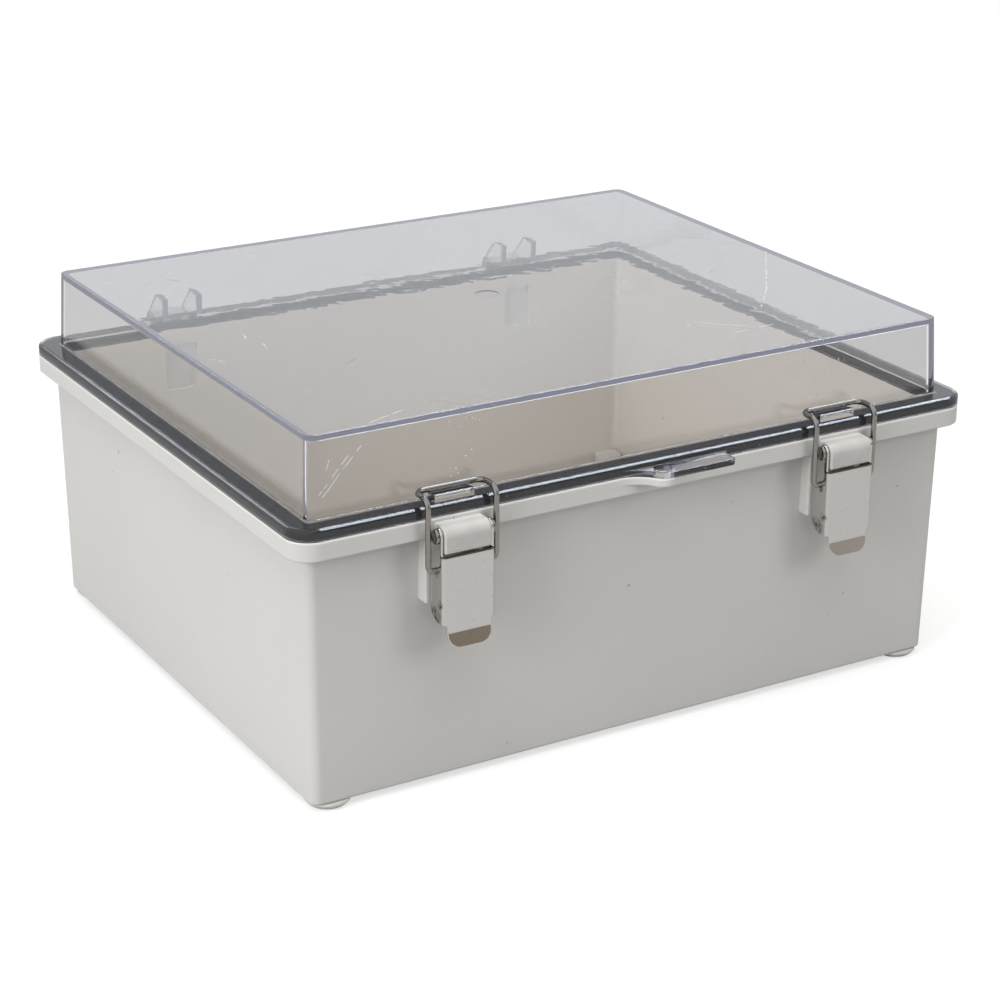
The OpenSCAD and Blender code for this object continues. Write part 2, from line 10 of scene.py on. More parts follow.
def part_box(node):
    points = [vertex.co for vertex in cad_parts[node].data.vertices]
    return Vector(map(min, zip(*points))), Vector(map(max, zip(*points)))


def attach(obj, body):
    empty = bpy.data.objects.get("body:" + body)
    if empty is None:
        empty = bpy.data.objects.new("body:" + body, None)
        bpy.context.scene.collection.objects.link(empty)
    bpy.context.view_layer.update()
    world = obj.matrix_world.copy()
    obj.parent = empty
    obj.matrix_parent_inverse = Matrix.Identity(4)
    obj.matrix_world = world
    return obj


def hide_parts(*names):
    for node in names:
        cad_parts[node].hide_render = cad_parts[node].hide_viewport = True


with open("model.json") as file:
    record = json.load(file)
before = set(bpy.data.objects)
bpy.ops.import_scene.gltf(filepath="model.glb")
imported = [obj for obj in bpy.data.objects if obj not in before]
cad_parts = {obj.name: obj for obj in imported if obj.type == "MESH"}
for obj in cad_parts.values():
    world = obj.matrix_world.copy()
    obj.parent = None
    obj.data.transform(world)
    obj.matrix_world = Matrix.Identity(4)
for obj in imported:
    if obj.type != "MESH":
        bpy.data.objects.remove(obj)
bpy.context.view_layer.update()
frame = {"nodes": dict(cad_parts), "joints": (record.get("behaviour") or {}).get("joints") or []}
mm = 0.001  # shapes are worked out in millimetres and written to the meshes in metres
sides = ("left", "right")
axisOrder = {"z": [0, 1, 2], "x": [2, 0, 1], "y": [1, 2, 0]}  # turns a shape made along Z to another axis
pivots = {joint["name"]: np.array(joint["pos_m"]) / mm for joint in frame["joints"]}
print("frame loaded:", len(frame["nodes"]), "nodes")


def boxOf(node):
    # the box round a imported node, in millimetres
    low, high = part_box(node)
    return np.array(low) / mm, np.array(high) / mm


# levels that several pieces share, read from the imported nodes
seal = dict(gasketInset=2.1, grooveDepth=3.0, partingGap=0.3)
gasketHigh = boxOf("gasket")[1]
rimHalf = gasketHigh[:2] + seal["gasketInset"]
frontY, rearY = -rimHalf[1], rimHalf[1]
lidUnder = gasketHigh[2] - seal["grooveDepth"]
rimTop = lidUnder - seal["partingGap"]
lidTop = boxOf("lid")[1][2]
caseBottom = boxOf("base_box")[0][2]


# path and surface helpers

def unit(vectors):
    # each vector divided by its length
    length = np.linalg.norm(vectors, axis=-1, keepdims=True)
    return vectors / np.maximum(length, 1e-12)


def filletPath(corners, radii, steps=6, closed=False, bent=2):
    # every corner becomes an arc that touches both of its sides:
    # the arc's centre lies on the bisector, at radius / sin(half the corner's angle)
    # columns past the bent ones are carried along in a straight line
    points = np.asarray(corners, float)
    flat, radius = points[:, :bent], np.asarray(radii, float) * np.ones(len(points))
    before, after = np.roll(flat, 1, 0) - flat, np.roll(flat, -1, 0) - flat
    if not closed:
        before[0], after[-1] = -after[0], -before[-1]
        radius = radius * (np.arange(len(radius)) % (len(radius) - 1) > 0)
    toBefore, toAfter = unit(before), unit(after)
    half = np.arccos(np.clip((toBefore * toAfter).sum(1), -1, 1)) / 2
    cut = radius / np.tan(half)
    centre = flat + unit(toBefore + toAfter) * (radius / np.sin(half))[:, None]
    first = flat + toBefore * cut[:, None] - centre
    last = flat + toAfter * cut[:, None] - centre
    turn = np.maximum(np.pi - 2 * half, 1e-6)[:, None]
    share = np.linspace(0, 1, steps + 1)[None]
    weightA = (np.sin((1 - share) * turn) / np.sin(turn))[..., None]
    weightB = (np.sin(share * turn) / np.sin(turn))[..., None]
    arcs = centre[:, None] + first[:, None] * weightA + last[:, None] * weightB
    if points.shape[1] > flat.shape[1]:
        extra = points[:, flat.shape[1]:]
        shareA = (cut / np.linalg.norm(before, axis=1))[:, None]
        shareB = (cut / np.linalg.norm(after, axis=1))[:, None]
        extraA = extra + (np.roll(extra, 1, 0) - extra) * shareA
        extraB = extra + (np.roll(extra, -1, 0) - extra) * shareB
        carried = extraA[:, None] + (extraB - extraA)[:, None] * share[..., None]
        arcs = np.concatenate([arcs, carried], axis=2)
    path = arcs.reshape(-1, points.shape[1])
    moved = np.linalg.norm(np.diff(path, axis=0), axis=1) > 1e-6
    return path[np.concatenate([[True], moved])]


def supported(path, gap=0.9, closed=False):
    # a long straight gets one more point near each end, so that flat faces stay flat under smooth shading
    step = np.roll(path, -1, 0) - path
    length = np.linalg.norm(step, axis=1)
    if not closed:
        length[-1] = 0
    share = np.where(length > 4 * gap, gap / np.maximum(length, 1e-9), 0)
    ends = np.stack([path, path + step * share[:, None], path + step * (1 - share[:, None])], 1)
    wanted = np.stack([share >= 0, share > 0, share > 0], 1)
    return ends[wanted]


def roundedRows(rows, steps):
    # a table of (inset, height, corner radius, rounding) becomes a profile
    table = np.array(rows, float)
    return supported(filletPath(table[:, :3], table[:, 3], steps), 0.2)


def ringGrid(profile, half, steps=12, gap=0.6):
    # each profile row (inset, height, corner radius) becomes a rounded rectangle round the middle:
    # four quarter circles, with one more point on the straights beside each
    inset, height, radius = (profile[:, i, None] for i in range(3))
    angle = np.linspace(0, np.pi / 2, steps + 1)[None]
    spare = np.full_like(radius, gap)
    along = np.hstack([radius, radius * np.cos(angle), -spare])
    across = np.hstack([-spare, radius * np.sin(angle), radius])
    centreX, centreY = half[0] - inset - radius, half[1] - inset - radius
    x = np.hstack([centreX + along, -centreX - across, -centreX - along, centreX + across])
    y = np.hstack([centreY + across, centreY + along, -centreY - across, -centreY - along])
    return np.stack([x, y, height + 0 * x], -1)


def insetOutline(outline, depth):
    # every point moves in along the mitre of its two sides, by one depth for each row
    before = outline - np.roll(outline, 1, 0)
    normalA = unit(np.stack([-before[:, 1], before[:, 0]], 1))
    normalB = np.roll(normalA, -1, 0)
    mitre = (normalA + normalB) / (1 + (normalA * normalB).sum(1, keepdims=True))
    return outline[None] + depth[:, None, None] * mitre[None]


def prism(outline, low, high, edge=0.4, axis="z", at=(0, 0, 0), steps=4, gap=0.12):
    # an outline carried straight along an axis, with quarter-round edges at both ends:
    # depth = edge * (1 - sin t) while the height runs edge * (1 - cos t) from each end
    turn = np.linspace(0, np.pi / 2, steps + 1)
    depth = np.concatenate([[edge + gap], edge * (1 - np.sin(turn)), [0]])
    rise = np.concatenate([[0], edge * (1 - np.cos(turn)), [edge + gap]])
    depths = np.concatenate([depth, depth[::-1]])
    heights = np.concatenate([low + rise, high - rise[::-1]])
    rows = insetOutline(outline, depths)
    grid = np.concatenate([rows, np.broadcast_to(heights[:, None, None], rows.shape[:2] + (1,))], 2)
    return grid[..., axisOrder[axis]] + np.asarray(at, float)


def circle(radius, steps=48, centre=(0, 0)):
    # points at even angles: centre + radius * (cos t, sin t)
    angle = np.linspace(0, 2 * np.pi, steps, endpoint=False)
    return np.stack([np.cos(angle), np.sin(angle)], 1) * radius + np.asarray(centre, float)


def arc(centre, radius, fromDeg, toDeg, steps=12):
    # the same between two angles
    angle = np.radians(np.linspace(fromDeg, toDeg, steps + 1))
    return np.asarray(centre, float) + radius * np.stack([np.cos(angle), np.sin(angle)], 1)


def rectangle(lowU, highU, lowV, highV, radius=0.0, steps=4):
    # four sides, with an arc at each corner
    corners = [(lowU, lowV), (highU, lowV), (highU, highV), (lowU, highV)]
    path = filletPath(corners, radius, steps, closed=True) if radius else np.array(corners, float)
    return supported(path, closed=True)


def turned(profile, axis="z", at=(0, 0, 0), steps=48):
    # a profile (radius, height) turned round an axis
    angle = np.linspace(0, 2 * np.pi, steps, endpoint=False)[None]
    radius, height = profile[:, 0, None], profile[:, 1, None]
    grid = np.stack([radius * np.cos(angle), radius * np.sin(angle), height + 0 * angle], -1)
    return grid[..., axisOrder[axis]] + np.asarray(at, float)


def tube(path, radius, steps=20):
    # a circle carried along a path; the frame is set by one slanted direction that no stretch runs along
    tangent = unit(np.gradient(path, axis=0))
    sideways = unit(np.cross(tangent, np.array([1.0, 1.0, 1.0])))
    upright = np.cross(tangent, sideways)
    angle = np.linspace(0, 2 * np.pi, steps, endpoint=False)[None, :, None]
    ring = np.cos(angle) * sideways[:, None] + np.sin(angle) * upright[:, None]
    return path[:, None] + ring * np.asarray(radius, float).reshape(-1, 1, 1)


def solidObject(name, grids, wrap=False):
    # rings of points become quads between neighbours; the first and last ring are capped unless the rows wrap
    points, faces, start = [], [], 0
    for grid in grids:
        rows, columns = grid.shape[:2]
        index = start + np.arange(rows * columns).reshape(rows, columns)
        loop = np.vstack([index, index[:1]]) if wrap else index
        loop = np.hstack([loop, loop[:, :1]])
        quads = np.stack([loop[:-1, :-1], loop[:-1, 1:], loop[1:, 1:], loop[1:, :-1]], -1)
        faces += quads.reshape(-1, 4).tolist()
        if not wrap:
            faces += [index[0, ::-1].tolist(), index[-1].tolist()]
        points.append(grid.reshape(-1, 3))
        start += rows * columns
    mesh = bpy.data.meshes.new(name)
    mesh.from_pydata((np.vstack(points) * mm).tolist(), [], faces)
    made = bpy.data.objects.new(name, mesh)
    bpy.context.scene.collection.objects.link(made)
    return made


def combine(target, grids, operation):
    # joins solids to the target or cuts them out of it, and keeps the result as the target's mesh
    tool = solidObject("tool", grids)
    change = target.modifiers.new("combine", "BOOLEAN")
    change.operation, change.solver, change.object = operation, "EXACT", tool
    graph = bpy.context.evaluated_depsgraph_get()
    mesh = bpy.data.meshes.new_from_object(target.evaluated_get(graph))
    target.modifiers.clear()
    target.data = mesh
    bpy.data.objects.remove(tool)


def dress(made, material, body, stoodFor=(), sharpDeg=32):
    # smooth shading with sharp edges kept, one material, and the CAD body that the piece rides on
    made.data.materials.clear()
    made.data.materials.append(material)
    made.data.shade_smooth()
    made.data.set_sharp_from_angle(angle=math.radians(sharpDeg))
    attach(made, body)
    if stoodFor:
        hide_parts(*stoodFor)


# materials, all on Object coordinates in metres

def newMaterial(name):
    # a new material with its node tree and main shader
    material = bpy.data.materials.new(name)
    material.use_nodes = True
    return material, material.node_tree, material.node_tree.nodes["Principled BSDF"]


def feed(node, values):
    # an output is linked to the input of that name or number, and a plain value is set on it
    for key, value in values.items():
        if hasattr(value, "node"):
            node.id_data.links.new(value, node.inputs[key])
        else:
            node.inputs[key].default_value = value
    return node


def addNode(tree, kind, settings=None, **values):
    # a node with its settings made and its inputs fed
    node = tree.nodes.new(kind)
    for key, value in (settings or {}).items():
        setattr(node, key, value)
    return feed(node, values)


def maths(operation, *sources, kind="ShaderNodeMath", result="Value"):
    # one step of arithmetic on outputs and plain values
    tree = next(source.id_data for source in sources if hasattr(source, "node"))
    node = addNode(tree, kind, {"operation": operation})
    return feed(node, dict(enumerate(sources))).outputs[result]


def vectored(operation, *sources):
    # the same on vectors, where three of the operations give a number
    result = "Value" if operation in ("LENGTH", "DISTANCE", "DOT_PRODUCT") else "Vector"
    return maths(operation, *sources, kind="ShaderNodeVectorMath", result=result)


def ranged(source, *span):
    # the span is low, high, toLow = 0, toHigh = 1: a straight line through (low, toLow) and (high, toHigh),
    # level past both ends
    node = addNode(source.id_data, "ShaderNodeMapRange")
    return feed(node, dict(enumerate((source, *span)))).outputs[0]


def blendColour(factor, *colours):
    # first * (1 - factor) + second * factor, for colours as outputs or plain values
    node = addNode(factor.id_data, "ShaderNodeMix", {"data_type": "RGBA"})
    first, second = (colour if hasattr(colour, "node") else (*colour, 1) for colour in colours)
    return feed(node, {0: factor, 6: first, 7: second}).outputs[2]


def mixShader(factor, first, second):
    # first * (1 - factor) + second * factor, for two shader nodes
    node = addNode(factor.id_data, "ShaderNodeMixShader")
    return feed(node, {0: factor, 1: first.outputs[0], 2: second.outputs[0]})


def bumped(shader, height, strength, distance):
    # a height between 0 and 1, times the distance, tilts the shading
    bump = addNode(shader.id_data, "ShaderNodeBump", Strength=strength, Distance=distance, Height=height)
    feed(shader, {"Normal": bump.outputs["Normal"]})


def placeOf(tree):
    # the place on the piece, in metres
    return addNode(tree, "ShaderNodeTexCoord").outputs["Object"]


def axisOf(tree, axis, place=None):
    # one coordinate of a place, or of the place on the piece
    place = placeOf(tree) if place is None else place
    return addNode(tree, "ShaderNodeSeparateXYZ", Vector=place).outputs[axis]


def noiseField(tree, scale, detail=2.0, stretch=(1, 1, 1), turn=(0, 0, 0), kind="POINT"):
    # noise on Object coordinates, stretched and turned by a mapping
    mapping = addNode(
        tree, "ShaderNodeMapping", {"vector_type": kind}, Scale=stretch, Rotation=turn, Vector=placeOf(tree))
    noise = addNode(tree, "ShaderNodeTexNoise", Scale=scale, Detail=detail, Vector=mapping.outputs["Vector"])
    return noise.outputs["Fac"]


def patches(tree, scale, detail, *span):
    # noise put through a range, which leaves patches with soft edges
    return ranged(noiseField(tree, scale, detail), *span)


def streaks(tree, scale, turn, level):
    # short fine lines: noise drawn out along one direction and kept only where it is strongest
    drawnOut, edge = (1, 22, 1), 0.03
    return ranged(noiseField(tree, scale, 1.0, drawnOut, (0, 0, turn), "TEXTURE"), level, level + edge)


def strokes(tree, lines, width, sway=0.003):
    # long scratches: one within a width of a straight piece, on coordinates that a slow noise sways:
    # share = offset . along / |along|^2, and the distance is that from the offset to share * along;
    # a finer noise breaks them up
    place = placeOf(tree)
    noise = addNode(tree, "ShaderNodeTexNoise", Scale=70.0, Detail=2.0, Vector=place)
    bent = vectored("MULTIPLY_ADD", noise.outputs["Color"], (sway, 0, 0), place)
    found = 0.0
    for start, end in np.array(lines) * mm:
        along = end - start
        offset = vectored("SUBTRACT", bent, start + (sway / 2, 0, 0))
        share = ranged(vectored("DOT_PRODUCT", offset, along / (along @ along)), 0, 1)
        apart = vectored("DISTANCE", offset, vectored("MULTIPLY", along, share))
        found = maths("MAXIMUM", found, ranged(apart, width * mm, 0.4 * width * mm))
    broken = patches(tree, 350.0, 2.0, 0.40, 0.52, 0.1, 1)
    return maths("MULTIPLY", found, broken)


def boxMask(tree, low, high, soft, mirrored=False):
    # one inside a box given in millimetres, with edges this soft; a mirrored box stands on both sides of
    # x = 0
    found = 1.0
    for axis, (bottom, top) in enumerate(zip(low, high)):
        place = axisOf(tree, axis)
        if mirrored and axis == 0:
            place = maths("ABSOLUTE", place)
        rise = ranged(place, (bottom - soft) * mm, (bottom + soft) * mm)
        fall = ranged(place, (top + soft) * mm, (top - soft) * mm)
        found = maths("MULTIPLY", found, maths("MULTIPLY", rise, fall))
    return found


def insideOf(tree, inner):
    # one above the floor and inside a rounded rectangle, where the length of max(|x, y| - straight half, 0)
    # is under the corner's radius
    corner, soft = inner["corner"], 0.0001
    straight = [half - corner for half in inner["half"]]
    beyond = vectored("SUBTRACT", vectored("ABSOLUTE", placeOf(tree)), (*straight, 0))
    flat = vectored("MULTIPLY", vectored("MAXIMUM", beyond, (0, 0, 0)), (1, 1, 0))
    within = ranged(vectored("LENGTH", flat), corner + soft, corner - soft)
    return maths("MULTIPLY", within, ranged(axisOf(tree, 2), inner["floor"], inner["floor"] + 4 * soft))


moulding = dict(
    drift=9.0, hoodShadePatchScale=130.0, hoodShadeEdge=0.6, speck=260.0, speckDepth=0.5, speckColour=(0.10, 0.095, 0.09),
    scuff=40.0, duller=0.06, glossier=0.05, grain=1500.0, grainStrength=0.10, grainDepth=0.0003)


def satinPlastic(name, colour, shade, roughness, inner=None, shadedHoods=None):
    # moulded grey plastic: fine spark-eroded grain, slow drift of tone and a few small dark specks;
    # a case whose inner size is given is painted paler and warmer inside as painted light, and is painted
    # darker in noisy patches within a given box round each hood as painted shade
    m = moulding
    material, tree, shader = newMaterial(name)
    tone = blendColour(patches(tree, m["drift"], 3.0, 0.35, 0.65), colour, shade)
    # painted light: inside the case the colour turns paler and warmer, standing in for the light on the inner
    # walls and floor
    if inner:
        tone = blendColour(insideOf(tree, inner), tone, inner["colour"])
    # painted shade: within a given box round each hood the colour is darkened in noisy patches, standing in
    # for the shade on the hoods
    if shadedHoods:
        shadePatches = patches(tree, m["hoodShadePatchScale"], 4.0, 0.35, 0.65, 0.55, 1)
        hoodShadeBox = boxMask(tree, shadedHoods["low"], shadedHoods["high"], m["hoodShadeEdge"], True)
        tone = blendColour(maths("MULTIPLY", hoodShadeBox, shadePatches), tone, shadedHoods["colour"])
    speck = patches(tree, m["speck"], 1.0, 0.80, 0.84, 0, m["speckDepth"])
    scuff = patches(tree, m["scuff"], 4.0, 0.3, 0.7, roughness - m["glossier"], roughness + m["duller"])
    feed(shader, {"Base Color": blendColour(speck, tone, m["speckColour"]), "Roughness": scuff})
    bumped(shader, noiseField(tree, m["grain"]), m["grainStrength"], m["grainDepth"])
    return material


def clearPlastic(name, tint, paintedGlowTone, wearAndPaintedLight):
    # polished polycarbonate that bends light; lamps and scattered light pass straight through it, and rays
    # that have been reflected inside more than once meet a painted glow: the plastic emits a fixed
    # purple-grey;
    # the flange is painted a darker tint than the dome as shade, the ears and catches a clearer tint as
    # light, and the dome has the slow waves of a thin moulding and the scratches that its corners pick up
    material, tree, shader = newMaterial(name)
    fine = maths("MAXIMUM", *(streaks(tree, *line) for line in wearAndPaintedLight["streaks"]))
    worn = patches(tree, wearAndPaintedLight["wornPatches"], 1.0, 0.50, 0.62)
    scratches = strokes(tree, wearAndPaintedLight["lines"], wearAndPaintedLight["width"])
    mark = maths("MAXIMUM", maths("MULTIPLY", fine, worn), scratches)
    dome = ranged(axisOf(tree, 2), *wearAndPaintedLight["flangeTop"])
    tab, ear = (ranged(axisOf(tree, 1), *wearAndPaintedLight[key]) for key in ("tabFrom", "earFrom"))
    # painted shade: the flange takes a darker tint than the dome and the padlock tab
    tone = blendColour(maths("MAXIMUM", dome, tab), wearAndPaintedLight["flangePaintedShadeTint"], tint)
    catches = boxMask(tree, wearAndPaintedLight["catchLow"], wearAndPaintedLight["catchHigh"], wearAndPaintedLight["catchEdge"], True)
    outside = maths("MAXIMUM", maths("MULTIPLY", dome, ear), catches)
    # painted light: the ears above the flange and the catches take a clearer, lighter tint
    tone = blendColour(outside, tone, wearAndPaintedLight["earsAndCatchesPaintedLightTint"])
    feed(shader, {
        "Base Color": blendColour(mark, tone, (1, 1, 1)), "Roughness": ranged(mark, 0, 1, *wearAndPaintedLight["roughness"]),
        "Transmission Weight": 1.0, "IOR": wearAndPaintedLight["refraction"]})
    domed = ranged(axisOf(tree, 2), *wearAndPaintedLight["waveFrom"])
    waves = maths("MULTIPLY", noiseField(tree, wearAndPaintedLight["waves"]), domed)
    bumped(shader, waves, 1.0, wearAndPaintedLight["waveDepth"])
    path = addNode(tree, "ShaderNodeLightPath").outputs
    scraped = addNode(tree, "ShaderNodeBsdfDiffuse", Color=(*wearAndPaintedLight["scrapedTone"], 1))
    # painted light: a glow of fixed purple-grey, emitted for rays reflected inside the plastic more than once
    edge = addNode(tree, "ShaderNodeEmission", Color=(*paintedGlowTone, 1), Strength=1.0)
    through = addNode(tree, "ShaderNodeBsdfTransparent", Color=(*wearAndPaintedLight["shadowTone"], 1))
    surface = mixShader(ranged(scratches, 0, 1, 0, wearAndPaintedLight["scraped"]), shader, scraped)
    surface = mixShader(ranged(path["Glossy Depth"], *wearAndPaintedLight["pastOnce"]), surface, edge)
    unbent = maths("MAXIMUM", path["Is Shadow Ray"], path["Is Diffuse Ray"])
    surface = mixShader(unbent, surface, through)
    feed(tree.nodes["Material Output"], {"Surface": surface.outputs[0]})
    return material


metalWork = dict(
    scuff=800.0, scuffStretch=(1, 1, 0.7), scuffTone=0.35, patches=420.0, cutEdge=0.08, smudge=90.0,
    smudgeSpan=(0.6, 1.6), drawn=2600.0, drawnStretch=(1, 1, 0.03), drawnDepth=0.0001)


def metal(name, colour, roughness, grain, scuffed, patchesAndShade=None):
    # polished sheet or wire: fine drawn lines along Z, a slow smudge in the gloss, small dull scuffs, and
    # darker brown patches round given places of the YZ plane, and painted shade in one box
    m = metalWork
    material, tree, shader = newMaterial(name)
    scuff = ranged(noiseField(tree, m["scuff"], 3.0, m["scuffStretch"]), 0.66, 0.74, 0, scuffed)
    tone = blendColour(scuff, colour, [m["scuffTone"] * c for c in colour])
    if patchesAndShade:
        flat = vectored("MULTIPLY", placeOf(tree), (0, 1, 1))
        patchy = patches(tree, m["patches"], 3.0, 0.40, 0.60, 0.1, 0.95)
        for y, z, radius in np.array(patchesAndShade["spots"]) * mm:
            near = ranged(vectored("DISTANCE", flat, (0, y, z)), radius, 0.5 * radius)
            tone = blendColour(maths("MULTIPLY", near, patchy), tone, patchesAndShade["colour"])
        # painted shade: one box along the top edge of a lever's face, just under its hood, is painted dark
        # brown
        cut = boxMask(tree, patchesAndShade["edgeShadeLow"], patchesAndShade["edgeShadeHigh"], m["cutEdge"], True)
        tone = blendColour(cut, tone, patchesAndShade["colour"])
    smudge = patches(tree, m["smudge"], 4.0, 0.3, 0.7, *(roughness * share for share in m["smudgeSpan"]))
    feed(shader, {"Base Color": tone, "Metallic": 1.0, "Roughness": smudge})
    bumped(shader, noiseField(tree, m["drawn"], 2.0, m["drawnStretch"]), grain, m["drawnDepth"])
    return material


foamCells = dict(mottle=700.0, paler=2, roughness=0.75, cells=1800.0, cellStrength=0.25, cellDepth=0.0002)


def foam(name, colour):
    # dark foam whose open cells show as a fine mottle
    material, tree, shader = newMaterial(name)
    f = foamCells
    tone = blendColour(noiseField(tree, f["mottle"], 3.0), colour, [f["paler"] * c for c in colour])
    feed(shader, {"Base Color": tone, "Roughness": f["roughness"]})
    bumped(shader, noiseField(tree, f["cells"], 3.0), f["cellStrength"], f["cellDepth"])
    return material


# painted light: the paler, warmer colour of the case's inner walls and floor
caseInnerPaintedLight = dict(half=(0.1534, 0.1274), corner=0.0032, floor=0.0043, colour=(0.68, 0.643, 0.597))
# painted shade on the hoods: a darker grey inside this box
hoodPaintedShade = dict(low=(82.0, -147.0, 106.0), high=(104.0, -139.5, 119.5), colour=(0.51, 0.50, 0.483))
lidWearAndPaintedLight = dict(
    # painted shade: the flange's darker tint; painted light: the clearer tint of the ears and catches
    flangePaintedShadeTint=(0.5, 0.5, 0.51), flangeTop=(0.1246, 0.1256), tabFrom=(-0.1368, -0.1374),
    earsAndCatchesPaintedLightTint=(0.95, 0.95, 0.955), earFrom=(0.1285, 0.1295),
    catchLow=(83.5, -135.2, 125.0), catchHigh=(102.5, -128.2, 129.5), catchEdge=0.2,
    refraction=1.58, roughness=(0.003, 0.4), shadowTone=(0.985, 0.985, 0.985), pastOnce=(1.4, 1.6),
    waves=60.0, waveDepth=0.00005, waveFrom=(0.1265, 0.134), wornPatches=16.0,
    streaks=[(620.0, 0.55, 0.745), (700.0, -0.95, 0.755)],
    width=0.34, scraped=0.5, scrapedTone=(0.9, 0.9, 0.9), lines=[
        ((-146.6, -127.1, 133.9), (-129.2, -126.3, 151.4)),
        ((-148.3, -127.1, 135.0), (-133.5, -126.4, 149.7)),
        ((-144.7, -126.6, 144.5), (-142.5, -126.4, 150.2)),
        ((-126.0, -124.0, 158.8), (-106.4, -116.7, 158.8)),
        ((-146.4, -19.8, 158.8), (-139.1, -32.1, 158.8)), ((-118.2, 1.9, 158.8), (-120.2, -6.4, 158.8)),
        ((-116.6, -13.1, 158.8), (-119.0, -24.0, 158.8)), ((46.8, -77.3, 158.8), (56.7, -85.6, 158.8)),
        ((56.2, -78.9, 158.8), (73.0, -94.9, 158.8)), ((62.9, -100.4, 158.8), (86.5, -98.2, 158.8)),
        ((147.8, -5.9, 158.8), (111.3, -56.3, 158.8)), ((111.3, -56.3, 158.8), (94.7, -75.8, 158.8))])
# darker brown patches round the spots; the box is painted shade along the top edge of the lever's face under
# the hood
leverPatchesAndShade = dict(
    colour=(0.12, 0.095, 0.07), spots=[(-141.2, 98.2, 1.9), (-139.8, 80.0, 5.2), (-143.6, 86.0, 2.4)],
    edgeShadeLow=(70.0, -147.0, 106.15), edgeShadeHigh=(110.0, -143.7, 107.0))
greyPlastic = satinPlastic(
    "greyPlastic", (0.645, 0.636, 0.619), (0.625, 0.618, 0.602), 0.46, caseInnerPaintedLight, hoodPaintedShade)
footPlastic = satinPlastic("footPlastic", (0.66, 0.65, 0.63), (0.62, 0.61, 0.59), 0.5)
# the third colour is the painted glow that rays reflected inside the lid take on
polycarbonate = clearPlastic("polycarbonate", (0.72, 0.722, 0.730), (0.25, 0.25, 0.31), lidWearAndPaintedLight)
gasketFoam = foam("gasketFoam", (0.010, 0.010, 0.011))
stainless = metal("stainless", (0.66, 0.645, 0.625), 0.09, 0.02, 0.5, leverPatchesAndShade)
wireSteel = metal("wireSteel", (0.32, 0.30, 0.275), 0.10, 0.03, 0.4)
turnedBrass = metal("turnedBrass", (0.80, 0.60, 0.27), 0.25, 0.08, 0.2)
print("materials made:", len(bpy.data.materials))


# grey case: walls, rim and sealing tongue in one sweep, then pads, hoods, lugs and bosses
case = dict(
    rimHeight=7.8, rimPlate=3.0, skirt=2.6, overhang=7.4, draft=1.4, wall=3.0, floor=3.0,
    rimCorner=11.0, wallCorner=4.0, innerCorner=2.5, tongueInset=4.4, tongueWidth=2.0, tongueHeight=0.5,
    rimEdge=0.7, lowEdge=1.3, innerEdge=2.0, underEdge=0.8, skirtEdge=0.5, tongueEdge=0.3, tongueFoot=0.15,
    mouthEdge=0.6, flat=8.0, underCorner=2.0, floorCorner=1.0)
latchSeat = dict(
    padHalf=13.5, padFront=6.1, padRear=12.9, padDrop=28.5, padEdge=0.8, padCorner=1.0,
    hoodHalf=10.35, hoodOut=4.7, hoodUp=4.2, hoodDown=6.5, hoodRound=4.4, hoodFoot=0.8, hoodRear=7.0,
    hoodEdge=0.6, bore=4.04)
hingeSeat = dict(
    padHalf=8.6, padFront=14.9, padRear=7.1, padDrop=21.0, padCorner=1.0, padEdge=0.6, lugHalf=6.9,
    lugEdge=0.35, barrel=4.0, barrelFrom=-35, barrelTo=205, rise=1.7, out=6.1, neck=15.6, bore=3.54,
    boreHalf=12, pocketBorder=1.5, pocketTop=3, pocketDepth=1.2, pocketCorner=0.8, pocketEdge=0.3)
padlock = dict(
    hole=7.5, out=4.1, wall=2.1, flare=18.0, flareTrim=4, eyeTrim=6, bite=0.2, lug=3.2, tab=2.75, edge=0.45,
    tabEdge=0.2, root=1.7)
bosses = dict(
    footInset=(19.0, 16.5), footRadius=7.0, footHeight=12.0, footBore=3.52, spigot=5.52, spigotHeight=2.0,
    insertHeight=8.0, panelInset=(40.0, 39.0), panelRadius=5.0, panelHeight=9.0, panelBore=2.82,
    panelDepth=7.0, edge=0.6)
hair = 0.02  # keeps joined faces out of one plane
over = 1  # how far a solid runs into what it joins, and a cutter past what it cuts
core = 0.2  # radius that closes the ends of a turned cutter
cutEdge = 0.01  # edge of a cutter that leaves a sharp rim


